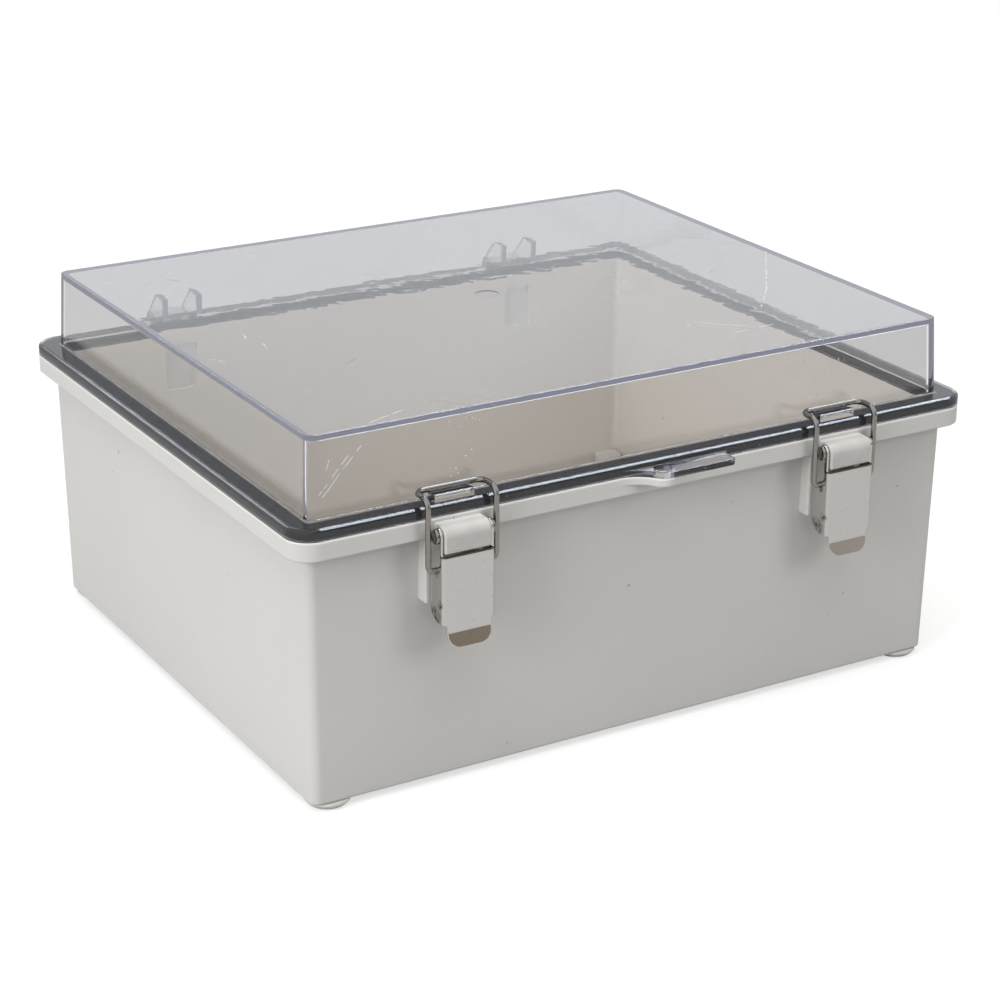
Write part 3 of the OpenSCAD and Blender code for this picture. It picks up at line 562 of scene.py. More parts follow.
def caseProfile():
    # from the middle of the underside out, up the wall, round the rim and down inside to the floor
    c = case
    depth, floorTop = rimTop - caseBottom, caseBottom + c["floor"]
    low, up = c["overhang"] + c["draft"], c["overhang"] + c["draft"] * c["rimPlate"] / depth
    under, rimLow, tongueTop = rimTop - c["rimPlate"], rimTop - c["rimHeight"], rimTop + c["tongueHeight"]
    inside = c["overhang"] + c["wall"]
    insideLow = inside + c["draft"] * (depth - c["floor"]) / depth
    outer, inner = c["tongueInset"], c["tongueInset"] + c["tongueWidth"]
    skirtCorner, outerCorner, innerCorner = (c["rimCorner"] - inset for inset in (c["skirt"], outer, inner))
    return roundedRows([
        (low + c["flat"], caseBottom, c["underCorner"], 0),
        (low, caseBottom, c["wallCorner"], c["lowEdge"]),
        (up, under, c["wallCorner"], c["underEdge"]),
        (c["skirt"], under, skirtCorner, c["underEdge"]),
        (c["skirt"], rimLow, skirtCorner, c["skirtEdge"]),
        (0, rimLow, c["rimCorner"], c["rimEdge"]),
        (0, rimTop, c["rimCorner"], c["rimEdge"]),
        (outer, rimTop, outerCorner, c["tongueFoot"]),
        (outer, tongueTop, outerCorner, c["tongueEdge"]),
        (inner, tongueTop, innerCorner, c["tongueEdge"]),
        (inner, rimTop, innerCorner, c["tongueFoot"]),
        (inside, rimTop, c["innerCorner"], c["mouthEdge"]),
        (insideLow, floorTop, c["innerCorner"], c["innerEdge"]),
        (insideLow + c["flat"], floorTop, c["floorCorner"], 0)], 6)


def latchSeats():
    # for each latch a pad on the wall, a hood whose outline has one round corner, carried along X, and a bore
    pads, hoods, bores = [], [], []
    s = latchSeat
    for name in sides:
        x, y, z = pivots[f"lever_{name}_turn"]
        padLow = rimTop - case["rimHeight"] - s["padDrop"]
        padOutline = rectangle(padLow, rimTop - hair, x - s["padHalf"], x + s["padHalf"], s["padCorner"])
        pads.append(prism(padOutline, y + s["padFront"], y + s["padRear"], s["padEdge"], "y"))
        corners = [
            (-s["hoodOut"], -s["hoodDown"]), (s["hoodRear"], -s["hoodDown"]), (s["hoodRear"], s["hoodUp"]),
            (-s["hoodOut"], s["hoodUp"])]
        path = filletPath(corners, [s["hoodFoot"], 0, 0, s["hoodRound"]], 10, True)
        half = s["hoodHalf"]
        hoods.append(prism(supported(path, closed=True), -half, half, s["hoodEdge"], "x", (x, y, z)))
        bores.append(prism(circle(s["bore"] / 2), -2 * half, 2 * half, cutEdge, "x", (x, y, z)))
    return pads, hoods, bores


def hingeSeats():
    # for each hinge a pad, a lug whose outline is an arc round the pin, carried along X, a bore and a pocket
    pads, lugs, bores = [], [], []
    s = hingeSeat
    hingeY, hingeZ = pivots["lid_hinge"][1:]
    for name in sides:
        low, high = boxOf(f"hinge_pin_{name}")
        at = ((low[0] + high[0]) / 2, hingeY, hingeZ)
        padLow, padHigh = rimTop - case["rimHeight"] - s["padDrop"], rimTop - case["rimPlate"] + hair
        padOutline = rectangle(padLow, padHigh, at[0] - s["padHalf"], at[0] + s["padHalf"], s["padCorner"])
        pads.append(prism(padOutline, hingeY - s["padFront"], hingeY - s["padRear"], s["padEdge"], "y"))
        foot = -s["rise"] - s["neck"]
        lugOutline = np.vstack([
            [(-s["padFront"], foot), (-s["padRear"], foot)],
            arc((0, 0), s["barrel"], s["barrelFrom"], s["barrelTo"], 28),
            [(-s["out"], -s["rise"] - hair), (-s["padFront"], -s["rise"] - hair)]])
        lugOutline = supported(lugOutline, closed=True)
        lugs.append(prism(lugOutline, -s["lugHalf"], s["lugHalf"], s["lugEdge"], "x", at))
        bores.append(prism(circle(s["bore"] / 2), -s["boreHalf"], s["boreHalf"], cutEdge, "x", at))
        pocketHalf = s["padHalf"] - s["pocketBorder"]
        inner = hingeY - s["out"] - case["overhang"] - case["wall"]
        pocket = rectangle(
            padLow + s["pocketBorder"], padHigh - s["pocketBorder"] - s["pocketTop"], at[0] - pocketHalf,
            at[0] + pocketHalf, s["pocketCorner"])
        bores.append(prism(pocket, inner - case["wall"], inner + s["pocketDepth"], s["pocketEdge"], "y"))
    return pads, lugs, bores


def padlockArcs():
    # a flare that leaves the rim as an arc and runs into the round eye: its radius comes from the distance
    # between both centres, which is the sum of the radii less the bite
    p = padlock
    eye = p["hole"] / 2 + p["wall"]
    meet = eye - p["bite"]
    flareRadius = (p["flare"] ** 2 - meet ** 2 + p["out"] ** 2) / (2 * (meet + p["out"]))
    toEye = math.degrees(math.atan2(flareRadius - p["out"], p["flare"]))
    flare = arc((-p["flare"], frontY - flareRadius), flareRadius, 90, toEye + p["flareTrim"], 16)
    eyeArc = arc((0, frontY - p["out"]), eye, 180 + toEye + p["eyeTrim"], 270, 20)
    return flare, eyeArc, eye


def spool(radius, low, high, rim, at):
    # a hole cutter whose ends flare out by quarter circles, which leaves rounded rims
    turn = np.linspace(0, np.pi / 2, 6)
    flareOut = radius + rim * (1 - np.sin(turn))
    rise = rim * (1 - np.cos(turn))
    profile = np.vstack([
        [(core, low - over), (radius + rim, low - over)], np.stack([flareOut, low + rise], 1),
        np.stack([flareOut[::-1], high - rise[::-1]], 1), [(radius + rim, high + over), (core, high + over)]])
    return turned(profile, "z", at)


def bossSolids():
    # round bosses at the corners of both hole patterns, and cutters for the inserts, turned from steps
    solids, cutters = [], []
    b = bosses
    low, floorTop = caseBottom + over, caseBottom + case["floor"]
    seat, top = caseBottom + b["spigotHeight"], floorTop + b["panelHeight"]
    steps = np.array([
        (core, caseBottom - over), (b["spigot"], caseBottom - over), (b["spigot"], seat),
        (b["footBore"], seat), (b["footBore"], seat + b["insertHeight"]), (core, seat + b["insertHeight"])])
    for sign in np.array([(-1, -1), (-1, 1), (1, -1), (1, 1)]):
        foot, panel = ((sign * (rimHalf - b[inset])).tolist() + [0] for inset in ("footInset", "panelInset"))
        solids.append(prism(circle(b["footRadius"]), low, floorTop + b["footHeight"], b["edge"], at=foot))
        solids.append(prism(circle(b["panelRadius"]), low, top, b["edge"], at=panel))
        cutters.append(turned(steps, at=foot))
        cutters.append(prism(circle(b["panelBore"]), top - b["panelDepth"], top + over, cutEdge, at=panel))
    return solids, cutters


def makeCase():
    # the swept shell is joined with its pads, bosses, hoods and lugs, and then cut by its bores
    made = solidObject("case", [ringGrid(caseProfile(), rimHalf)])
    latchPads, hoods, latchBores = latchSeats()
    hingePads, lugs, hingeBores = hingeSeats()
    bossGroup, bossCutters = bossSolids()
    p = padlock
    flare, eyeArc, eye = padlockArcs()
    otherArc = arc((0, frontY - p["out"]), eye, 270 + p["eyeTrim"], 360, 16)
    root = frontY + p["root"]
    lugOutline = np.vstack([[(-p["flare"], root)], flare, eyeArc, otherArc, [(eye, root)]])
    padlockLug = prism(supported(lugOutline, closed=True), rimTop - p["lug"], rimTop - hair, p["edge"])
    hole = spool(p["hole"] / 2, rimTop - p["lug"], rimTop - hair, p["edge"], (0, frontY - p["out"], 0))
    combine(made, latchPads + hingePads + bossGroup + [padlockLug], "UNION")
    combine(made, hoods + lugs, "UNION")
    combine(made, latchBores + hingeBores + bossCutters + [hole], "DIFFERENCE")
    dress(made, greyPlastic, "box", ["base_box"])
    print("case:", len(made.data.polygons), "faces")


makeCase()


# clear lid: flange, groove and dome in one sweep, then ears, catches and the padlock tab
lid = dict(
    flangeHeight=5.2, flangeEdge=1.8, flangeLowEdge=0.3, grooveInset=2.0, grooveWidth=7.0, grooveEdge=0.3,
    grooveMouth=0.15, domeInset=9.5, draft=1.5, corner=4.0, innerCorner=2.5, wall=3.0, topEdge=0.35,
    innerEdge=0.2, innerLowEdge=0.3, footFillet=0.2, flat=8.0, ceilingCorner=1.5, topCorner=2.0,
    rimCorner=11.0)
ears = dict(
    half=6.9, gap=0.3, thick=2.8, rise=10.6, top=8.0, topRound=1.2, barrel=4.0, barrelTo=38, tail=(2, 4),
    out=6.1, bore=3.6, boreHalf=15, edge=0.35)
catch = dict(
    half=9.0, front=4.9, rear=0.8, gap=0.3, ramp=0.7, wire=1.2, barUp=15.4, barBack=11.4, edge=0.35,
    rounds=[0, 0, 0.5, 1.0, 0.7])
ledge = dict(start=0.6, length=32.5, out=10.0, corner=2.0, flare=3.0)
gate = dict(radius=5.5, depth=0.3, edge=0.1)
flangeTop = lidUnder + lid["flangeHeight"]


def lidProfile():
    # from the middle of the ceiling out, down the inner wall, round the groove and flange and over the dome
    l = lid
    lean, ceiling, grooveTop = l["draft"] / (lidTop - flangeTop), lidTop - l["wall"], gasketHigh[2]
    innerTop, innerLow = (l["domeInset"] + l["wall"] + lean * (z - flangeTop) for z in (ceiling, lidUnder))
    outer, inner, top = l["grooveInset"], l["grooveInset"] + l["grooveWidth"], l["domeInset"] + l["draft"]
    outerCorner, innerCorner = l["rimCorner"] - outer, l["rimCorner"] - inner
    return roundedRows([
        (innerTop + l["flat"], ceiling, l["ceilingCorner"], 0),
        (innerTop, ceiling, l["innerCorner"], l["innerEdge"]),
        (innerLow, lidUnder, l["innerCorner"], l["innerLowEdge"]),
        (inner, lidUnder, innerCorner, l["grooveMouth"]),
        (inner, grooveTop, innerCorner, l["grooveEdge"]),
        (outer, grooveTop, outerCorner, l["grooveEdge"]),
        (outer, lidUnder, outerCorner, l["grooveMouth"]),
        (0, lidUnder, l["rimCorner"], l["flangeLowEdge"]),
        (0, flangeTop, l["rimCorner"], l["flangeEdge"]),
        (l["domeInset"], flangeTop, l["corner"], l["footFillet"]),
        (top, lidTop, l["corner"], l["topEdge"]),
        (top + l["flat"], lidTop, l["topCorner"], 0)], 8)


def lidEars():
    # an ear is an arc round the pin with a sloping top, carried along X, and each hinge has two
    solids, bores = [], []
    e = ears
    hingeY, hingeZ = pivots["lid_hinge"][1:]
    domeFoot = rearY - lid["domeInset"] - hingeY
    top, under = flangeTop + e["rise"] - hingeZ, lidUnder + hair - hingeZ
    root, inFlange, inDome = -e["out"] - lid["grooveInset"], gasketHigh[2] + over - hingeZ, domeFoot - over
    slope = filletPath([e["tail"], (domeFoot + e["top"], top), (inDome, top)], [0, e["topRound"], 0], 6)
    outline = np.vstack([
        [(inDome, inFlange), (root, inFlange), (root, under), (-e["out"], under)],
        arc((0, 0), e["barrel"], -90, e["barrelTo"], 18), slope[1:]])
    for name in sides:
        low, high = boxOf(f"hinge_pin_{name}")
        at = np.array([(low[0] + high[0]) / 2, hingeY, hingeZ])
        for side in (-1, 1):
            start = side * (e["half"] + e["gap"] + e["thick"] / 2)
            low, high = start - e["thick"] / 2, start + e["thick"] / 2
            solids.append(prism(supported(outline, closed=True), low, high, e["edge"], "x", at))
        bores.append(prism(circle(e["bore"] / 2), -e["boreHalf"], e["boreHalf"], cutEdge, "x", at))
    return solids, bores


def lidCatches():
    # a catch is a ramped outline carried along X, a small gap under the bail's crossbar
    solids = []
    c = catch
    for name in sides:
        at = pivots[f"lever_{name}_turn"]
        low, rest = flangeTop - over - at[2], c["barUp"] - c["wire"] - c["gap"]
        front, rear = c["barBack"] - c["front"], c["barBack"] + c["rear"]
        corners = [(front, low), (rear, low), (rear, rest), (c["barBack"], rest), (front, rest + c["ramp"])]
        outline = supported(filletPath(corners, c["rounds"], 5, True), closed=True)
        solids.append(prism(outline, -c["half"], c["half"], c["edge"], "x", at))
    return solids


def lidTab():
    # padlock eye with its flare on the left, the pull ledge on the right and a small flare at the ledge's end
    p, l = padlock, ledge
    flare, eyeArc = padlockArcs()[:2]
    length, out, root = l["length"], l["out"], frontY + p["root"]
    end = filletPath(
        [(l["start"], -out), (length, -out), (length, 0), (length + 2 * l["flare"], 0)],
        [0, l["corner"], l["flare"], 0], 8)
    outline = np.vstack([
        [(-p["flare"], root)], flare, eyeArc, end[:-1] + (0, frontY), [(length + l["flare"], root)]])
    return prism(supported(outline, closed=True), lidUnder + hair, lidUnder + p["tab"], p["tabEdge"])


def makeLid():
    # the swept dome is joined with its ears, catches and tab, and then cut by its bores and the gate mark
    made = solidObject("clearLid", [ringGrid(lidProfile(), rimHalf, 16)])
    earSolids, earBores = lidEars()
    p = padlock
    hole = spool(p["hole"] / 2, lidUnder + hair, lidUnder + p["tab"], p["tabEdge"], (0, frontY - p["out"], 0))
    dimple = prism(circle(gate["radius"], 64), lidTop - gate["depth"], lidTop + over, gate["edge"])
    combine(made, earSolids + lidCatches() + [lidTab()], "UNION")
    combine(made, earBores + [hole, dimple], "DIFFERENCE")
    dress(made, polycarbonate, "lid", ["lid"])
    print("lid:", len(made.data.polygons), "faces")


makeLid()


# foam gasket, pressed a hair into the lid's groove so that the foam wets the clear plastic
gasket = dict(bite=0.03, rounds=[0.6, 0.6, 0.2, 0.2])


def makeGasket():
    # a rectangle with rounded corners, carried round the groove
    bite = gasket["bite"]
    inner, outer = lid["grooveInset"] + lid["grooveWidth"] + bite, lid["grooveInset"] - bite
    low, high = boxOf("gasket")[0][2], gasketHigh[2] + bite
    rows = [(inner, low), (outer, low), (outer, high), (inner, high)]
    table = np.array([(inset, height, lid["rimCorner"] - inset) for inset, height in rows])
    profile = filletPath(table, gasket["rounds"], 4, closed=True)
    made = solidObject("foamGasket", [ringGrid(supported(profile, 0.3, True), rimHalf, 12)], wrap=True)
    dress(made, gasketFoam, "lid", ["gasket"])


makeGasket()
print("gasket made")


# latch levers, each bent from a flat blank with rounded edges
lever = dict(
    sheet=1.2, half=11.85, front=5.0, back=5.8, bend=1.8, ear=3.6, faceTop=7.3, faceRound=0.8, sideTop=12.0,
    sideRound=1.0, foot=36.5, footRound=7.5, neck=2.4, tabBend=4.0, tabAngle=17.0, tabLength=6.2, tabHalf=9.9,
    tabCorner=5.5, tabFoot=0.6, pivotHole=2.05, bailHole=1.25, bailBack=0.6, bailDrop=14.4, edge=0.45,
    holeEdge=0.22, bendSteps=8, tabSteps=6, support=0.08)
bendFlat = lever["half"] - lever["bend"]
bendLength = (lever["bend"] - lever["sheet"] / 2) * np.pi / 2
sideOffset = bendFlat + bendLength + lever["front"] - lever["bend"]  # across the blank, the pivot's place
tabTurn = math.radians(lever["tabAngle"])
tabArc = (lever["tabBend"] + lever["sheet"] / 2) * tabTurn


def leverOutline():
    # the right half from the tab's tip up to the top of the face, then its mirror image
    l = lever
    ear, foot, side, face = l["ear"], -l["foot"], -l["sideTop"], -l["faceTop"]
    end = foot - l["neck"] - tabArc - l["tabLength"]
    back, earOut, earIn = sideOffset + l["back"], sideOffset + ear, sideOffset - ear
    corners = [
        (0, end), (l["tabHalf"], end), (l["tabHalf"], foot), (back, foot), (back, side), (earOut, side),
        (earOut, ear), (earIn, ear), (earIn, face), (0, face)]
    rounds = [
        0, l["tabCorner"], l["tabFoot"], l["footRound"], l["sideRound"], l["sideRound"], ear, ear,
        l["faceRound"], 0]
    right = filletPath(corners, rounds, 10)[1:-1]
    return supported(np.vstack([right, right[::-1] * (-1, 1)]), 0.7, closed=True)


def folded(points):
    # past a bend line the sheet follows an arc, where angle = distance past the line / middle radius, and
    # it is straight after that
    l = lever
    across, down, outward = points.T
    past = np.abs(across) - bendFlat
    turn = np.clip(past / (l["bend"] - l["sheet"] / 2), 0, np.pi / 2)
    reach = l["bend"] - l["sheet"] + outward
    x = np.sign(across) * (np.minimum(np.abs(across), bendFlat) + reach * np.sin(turn))
    y = l["bend"] - l["front"] - reach * np.cos(turn) + np.maximum(past - bendLength, 0)
    drop = np.maximum(-down - l["foot"] - l["neck"], 0)
    tilt = np.clip(drop / (l["tabBend"] + l["sheet"] / 2), 0, tabTurn)
    depth, rest = l["tabBend"] + l["sheet"] - outward, np.maximum(drop - tabArc, 0)
    tabY = depth * np.cos(tilt) - rest * np.sin(tilt) - l["front"] - l["tabBend"]
    tabZ = -depth * np.sin(tilt) - rest * np.cos(tilt) - l["foot"] - l["neck"]
    return np.stack([x, np.where(drop > 0, tabY, y), np.where(drop > 0, tabZ, down)], 1)


def scored(made, lines):
    # cuts the faces along straight lines (axis, place), so that they can bend there
    cuts = bmesh.new()
    cuts.from_mesh(made.data)
    bmesh.ops.triangulate(cuts, faces=cuts.faces[:])
    for axis, place in lines:
        normal = np.eye(3)[axis]
        everything = cuts.verts[:] + cuts.edges[:] + cuts.faces[:]
        through = normal * place * mm
        bmesh.ops.bisect_plane(cuts, geom=everything, dist=1e-6, plane_co=through, plane_no=normal)
    cuts.to_mesh(made.data)
    cuts.free()


def moved(made, change):
    # all vertices go at once to where the change sends them
    places = np.empty(len(made.data.vertices) * 3)
    made.data.vertices.foreach_get("co", places)
    made.data.vertices.foreach_set("co", (change(places.reshape(-1, 3) / mm) * mm).ravel())
    made.data.update()


def bendPlaces(length, steps):
    # even steps along a bend, and one more line close to each of its ends
    support = lever["support"]
    return np.concatenate([[-support], np.linspace(0, length, steps + 1), [length + support]])


def makeLevers():
    # each is a flat blank with four holes, scored along its bend lines and folded
    l = lever
    bendLines = bendFlat + bendPlaces(bendLength, l["bendSteps"])
    tabLines = -l["foot"] - l["neck"] - bendPlaces(tabArc, l["tabSteps"])
    lines = [(0, place) for place in (*bendLines, *-bendLines)] + [(1, place) for place in tabLines]
    for name in sides:
        made = solidObject(f"lever_{name}", [prism(leverOutline(), 0, l["sheet"], l["edge"], steps=5)])
        holes = []
        for side in (-1, 1):
            bailAt = (side * (sideOffset + l["bailBack"]), -l["bailDrop"], 0)
            holes.append(spool(l["pivotHole"], 0, l["sheet"], l["holeEdge"], (side * sideOffset, 0, 0)))
            holes.append(spool(l["bailHole"], 0, l["sheet"], l["holeEdge"], bailAt))
        combine(made, holes, "DIFFERENCE")
        scored(made, lines)
        moved(made, lambda points: folded(points) + pivots[f"lever_{name}_turn"])
        dress(made, stainless, f"lever_{name}", [f"latch_lever_{name}"])
        print("lever:", len(made.data.polygons), "faces")


makeLevers()


# bails, each bent from one length of wire with rounded ends
bail = dict(
    radius=1.2, inner=10.05, half=15.25, height=29.8, reach=10.8, endBend=2.6, bend=4.0, endRound=0.35)


def makeBails():
    # a circle carried along straights and bends; its radius falls as a quarter circle at both ends
    b = bail
    half, height = b["half"], b["height"]
    right = np.array([(b["inner"], 0, 0), (half, 0, 0), (half, 0, height), (half, b["reach"], height)])
    corners = np.vstack([right, right[::-1] * (-1, 1, 1)])
    radii = [0, b["endBend"], b["bend"], b["bend"], b["bend"], b["bend"], b["endBend"], 0]
    wire = supported(filletPath(corners, radii, 10, bent=3), 0.6)
    turn = np.linspace(0, np.pi / 2, 6)
    along, ends = b["endRound"] * (1 - np.cos(turn)), b["radius"] - b["endRound"] * (1 - np.sin(turn))
    outward = np.array([1.0, 0, 0])
    path = np.vstack([wire[0] + along[:, None] * outward, wire[1:-1], wire[-1] - along[::-1, None] * outward])
    thick = np.concatenate([ends, np.full(len(wire) - 2, b["radius"]), ends[::-1]])
    for name in sides:
        made = solidObject(f"bail_{name}", [tube(path + pivots[f"bail_{name}_turn"], thick, 24)])
        dress(made, wireSteel, f"bail_{name}", [f"latch_bail_{name}"])


makeBails()
print("bails made")


# turned pieces: rivets with dished heads, plain hinge pins, feet and knurled inserts
rivet = dict(
    radius=2.0, head=3.0, start=12.0, thick=1.2, dish=1.75, dishSlope=0.35, depth=0.4,
    rounds=[0, 0.3, 0.2, 0.45, 0.15, 0.05])
hingePin = dict(chamfer=0.4)
foot = dict(
    radius=9.5, flat=7.4, shoulder=2.2, height=3.0, spigot=5.5, spigotHeight=2.0, hole=2.75,
    rounds=[0.35, 2.4, 0.5, 0.2, 0.05, 0.2, 0.2])
insert = dict(
    groove=0.5, collarEdge=0.15, teeth=22, bite=0.22, pitch=0.8, thread=0.36, chamfer=0.3, rowsPerPitch=10,
    columns=132, minor=dict(foot=2.1, panel=1.65))
tip = 0.05  # radius that closes the ends of a turned pin


def makePins():
    # profiles turned round X
    r = rivet
    end = r["start"] + r["thick"]
    half = np.array([
        (tip, r["depth"] - end), (r["dish"], r["depth"] - end), (r["dish"] + r["dishSlope"], -end),
        (r["head"], -end), (r["head"], -r["start"]), (r["radius"], -r["start"])])
    corners = np.vstack([half, half[::-1] * (1, -1)])
    profile = supported(filletPath(corners, r["rounds"] + r["rounds"][::-1], 5), 0.1)
    for name in sides:
        made = solidObject(f"rivet_{name}", [turned(profile, "x", pivots[f"lever_{name}_turn"])])
        dress(made, wireSteel, "box", [f"latch_pin_{name}"])
        low, high = boxOf(f"hinge_pin_{name}")
        reach, radius = (high[0] - low[0]) / 2, (high[2] - low[2]) / 2
        ends = [(tip, -reach), (radius, -reach), (radius, reach), (tip, reach)]
        rod = supported(filletPath(ends, hingePin["chamfer"], 5), 0.1)
        made = solidObject(f"hingePin_{name}", [turned(rod, "x", (low + high) / 2)])
        dress(made, stainless, "box", [f"hinge_pin_{name}"])


def insertGrid(low, high, minor):
    # outside: straight teeth cut into the two collars; inside: a groove that climbs one pitch in a turn;
    # both are triangle waves, and a row's third number says which of them it takes
    i = insert
    radius, height = (high[0] - low[0]) / 2, high[2] - low[2]
    third, edge, neck = height / 3, i["chamfer"], radius - i["groove"]
    threadZ = np.linspace(height - edge, edge, int(height / i["pitch"] * i["rowsPerPitch"]))
    outside = [
        (radius - edge, 0, 0), (radius, edge, 1), (radius, third - i["collarEdge"], 1), (neck, third, 0),
        (neck, 2 * third, 0), (radius, 2 * third + i["collarEdge"], 1), (radius, height - edge, 1),
        (radius - edge, height, 0)]
    inside = [(minor + edge, height, 0)] + [(minor, z, 2) for z in threadZ] + [(minor + edge, 0, 0)]
    rows = np.array(outside + inside)
    angle = np.linspace(0, 1, i["columns"], endpoint=False)[None]
    size, z, kind = (rows[:, k, None] for k in range(3))
    teeth = np.abs((angle * i["teeth"]) % 1 - 0.5) * 2
    climb = np.abs((z / i["pitch"] - angle) % 1 - 0.5) * 2
    size = size - (kind == 1) * i["bite"] * teeth + (kind == 2) * i["thread"] * climb
    turn = angle * 2 * np.pi
    middleX, middleY = (low + high)[:2] / 2
    return np.stack([size * np.cos(turn) + middleX, size * np.sin(turn) + middleY, low[2] + z + 0 * turn], -1)


def makeFeet():
    # profiles turned round Z, with one insert above each foot and one in each floor boss
    f = foot
    top = f["height"] + f["spigotHeight"]
    corners = [
        (f["hole"], 0), (f["flat"], 0), (f["radius"], f["shoulder"]), (f["radius"], f["height"]),
        (f["spigot"], f["height"]), (f["spigot"], top), (f["hole"], top)]
    profile = supported(filletPath(corners, f["rounds"], 6, closed=True), 0.15, True)
    for end in ("front", "rear"):
        for name in sides:
            low, high = boxOf(f"foot_{end}_{name}")
            at = (*(low + high)[:2] / 2, low[2])
            made = solidObject(f"footPad_{end}_{name}", [turned(profile, "z", at, 64)], wrap=True)
            dress(made, footPlastic, "box", [f"foot_{end}_{name}"])
            for kind, minor in insert["minor"].items():
                node = f"{kind}_insert_{end}_{name}"
                made = solidObject(f"{kind}Insert_{end}_{name}", [insertGrid(*boxOf(node), minor)], wrap=True)
                dress(made, turnedBrass, "box", [node], 40)


makePins()
makeFeet()
print("turned pieces made")


# camera at the photograph's angle
shot = dict(
    place=(-550.54, -939.99, 490.13), azimuth=-30.685, elevation=21.519, roll=0.340, lens=92.18, sensor=36.0)


def makeCamera():
    # its axes come from the azimuth and elevation, and are then turned by the roll
    a, e, r = (math.radians(shot[key]) for key in ("azimuth", "elevation", "roll"))
    back = np.array([math.sin(a) * math.cos(e), -math.cos(a) * math.cos(e), math.sin(e)])
    right = np.array([math.cos(a), math.sin(a), 0])
    upward = np.cross(back, right)
    data = bpy.data.cameras.new("camera")
    data.lens, data.sensor_width = shot["lens"], shot["sensor"]
    camera = bpy.data.objects.new("camera", data)
    turn = np.eye(4)
    turn[:3, 0] = right * math.cos(r) + upward * math.sin(r)
    turn[:3, 1] = upward * math.cos(r) - right * math.sin(r)
    turn[:3, 2] = back
    turn[:3, 3] = np.array(shot["place"]) * mm
    camera.matrix_world = Matrix(turn.tolist())
    bpy.context.scene.collection.objects.link(camera)
    bpy.context.scene.camera = camera


makeCamera()


# studio: white floor and surroundings, a large soft light above, one on the left and one low on the right
# front; no lamp is mirrored in the lid, and the strips are long narrow lights that only a polished clear
# surface shows
studio = dict(
    floorSize=40.0, floorColour=0.45, floorRoughness=0.9, nearGlow=0.62, farGlow=0.92, glowSpan=(0.4, 4.0),
    mirrorGlow=0.16, worldLight=0.28, mirroredThrough=0.6, mirrorTone=(0.97, 1.0, 1.04),
    room=(0.285, 0.234, 0.19), roomAt=(0.25, -0.956, 0.15), roomSpan=(0.80, 0.96), stripEdge=0.02,
    strips=[
        dict(tone=(9.5, 10.5, 12.0), spans=[(0, 0.34, 0.70), (2, 0.64, 1.2)]),
        dict(tone=(7.0, 7.3, 8.0), spans=[(0, -0.28, -0.12), (1, 0.70, 0.90)])],
    lampsAimAt=(0, 0, 0.08),
    lamps=[
        dict(name="topSoftbox", place=(-0.2, -0.1, 1.9), size=2.2, power=34.0, tone=(1.0, 0.99, 0.97)),
        dict(name="leftSoftbox", place=(-1.75, -0.5, 0.75), size=1.0, power=21.0, tone=(1.0, 1.0, 1.0)),
        dict(name="frontSoftbox", place=(1.05, -1.72, 0.98), size=0.9, power=10.0, tone=(1.0, 0.99, 0.97))])


def seenDirectly(tree):
    # one where a ray comes from the camera or through a clear body, so that both show white surroundings
    path = addNode(tree, "ShaderNodeLightPath").outputs
    return path, maths("MAXIMUM", path["Is Camera Ray"], path["Is Transmission Ray"])


def makeFloor():
    # its glow rises with the distance from the middle, and only the camera, clear bodies and mirrors see it
    half = studio["floorSize"] / 2
    mesh = bpy.data.meshes.new("floor")
    corners = [(-half, -half, 0), (half, -half, 0), (half, half, 0), (-half, half, 0)]
    mesh.from_pydata(corners, [], [(0, 1, 2, 3)])
    floor = bpy.data.objects.new("floor", mesh)
    bpy.context.scene.collection.objects.link(floor)
    material, tree, shader = newMaterial("paperFloor")
    path, plain = seenDirectly(tree)
    away = vectored("LENGTH", placeOf(tree))
    glow = ranged(away, *studio["glowSpan"], studio["nearGlow"], studio["farGlow"])
    mirrored = ranged(path["Is Glossy Ray"], 0, 1, 0, studio["mirrorGlow"])
    seen = maths("MAXIMUM", maths("MULTIPLY", plain, glow), mirrored)
    feed(shader, {
        "Base Color": (studio["floorColour"],) * 3 + (1,), "Roughness": studio["floorRoughness"],
        "Specular IOR Level": 0.0, "Emission Color": (1, 1, 1, 1), "Emission Strength": seen})
    mesh.materials.append(material)


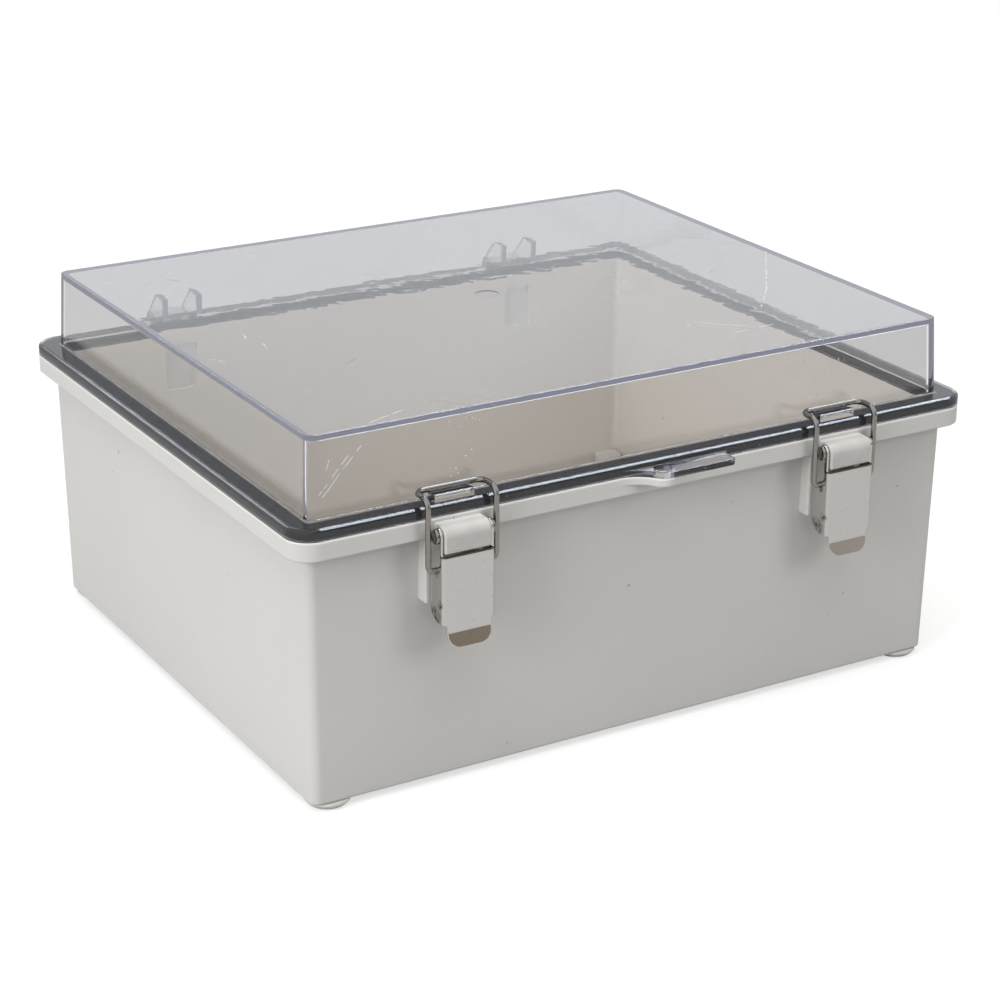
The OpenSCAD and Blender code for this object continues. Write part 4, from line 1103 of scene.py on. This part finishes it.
def makeWorld():
    # white where it is seen; the object is lit by an even fill, with a dim warm room low down behind the
    # camera; what a clear body mirrors inside and lets out again is dimmed
    world = bpy.data.worlds.new("studio")
    bpy.context.scene.world = world
    world.use_nodes = True
    tree = world.node_tree
    path, plain = seenDirectly(tree)
    direct = maths("MAXIMUM", plain, path["Is Glossy Ray"])
    place = addNode(tree, "ShaderNodeTexCoord").outputs["Generated"]
    near = ranged(vectored("DOT_PRODUCT", place, studio["roomAt"]), *studio["roomSpan"])
    room = maths("MULTIPLY", near, ranged(plain, 0, 1, 1, 0))
    depth = ranged(path["Glossy Depth"], 0.4, 0.6)
    around = blendColour(room, blendColour(depth, (1, 1, 1), studio["mirrorTone"]), studio["room"])
    edge = studio["stripEdge"]
    for strip in studio["strips"]:
        band = maths("MULTIPLY", path["Is Glossy Ray"], path["Is Singular Ray"])
        for axis, low, high in strip["spans"]:
            along = axisOf(tree, axis, place)
            rise, fall = ranged(along, low, low + edge), ranged(along, high, high - edge)
            band = maths("MULTIPLY", band, maths("MULTIPLY", rise, fall))
        around = blendColour(band, around, strip["tone"])
    mirrored = maths("MULTIPLY", path["Is Transmission Ray"], depth)
    dimmed = ranged(mirrored, 0, 1, 1, studio["mirroredThrough"])
    strength = maths("MULTIPLY", ranged(direct, 0, 1, studio["worldLight"], 1), dimmed)
    feed(tree.nodes["Background"], {"Color": around, "Strength": strength})


def makeLamps():
    # square lights that all aim at one point
    for lamp in studio["lamps"]:
        data = bpy.data.lights.new(lamp["name"], "AREA")
        data.energy, data.size, data.shape, data.color = lamp["power"], lamp["size"], "SQUARE", lamp["tone"]
        made = bpy.data.objects.new(lamp["name"], data)
        made.location = lamp["place"]
        made.visible_glossy = made.visible_transmission = False
        made.rotation_mode = "QUATERNION"
        made.rotation_quaternion = (Vector(studio["lampsAimAt"]) - made.location).to_track_quat("-Z", "Y")
        bpy.context.scene.collection.objects.link(made)


makeFloor()
makeWorld()
makeLamps()
bpy.context.scene.view_settings.view_transform = "Standard"
print("studio ready")
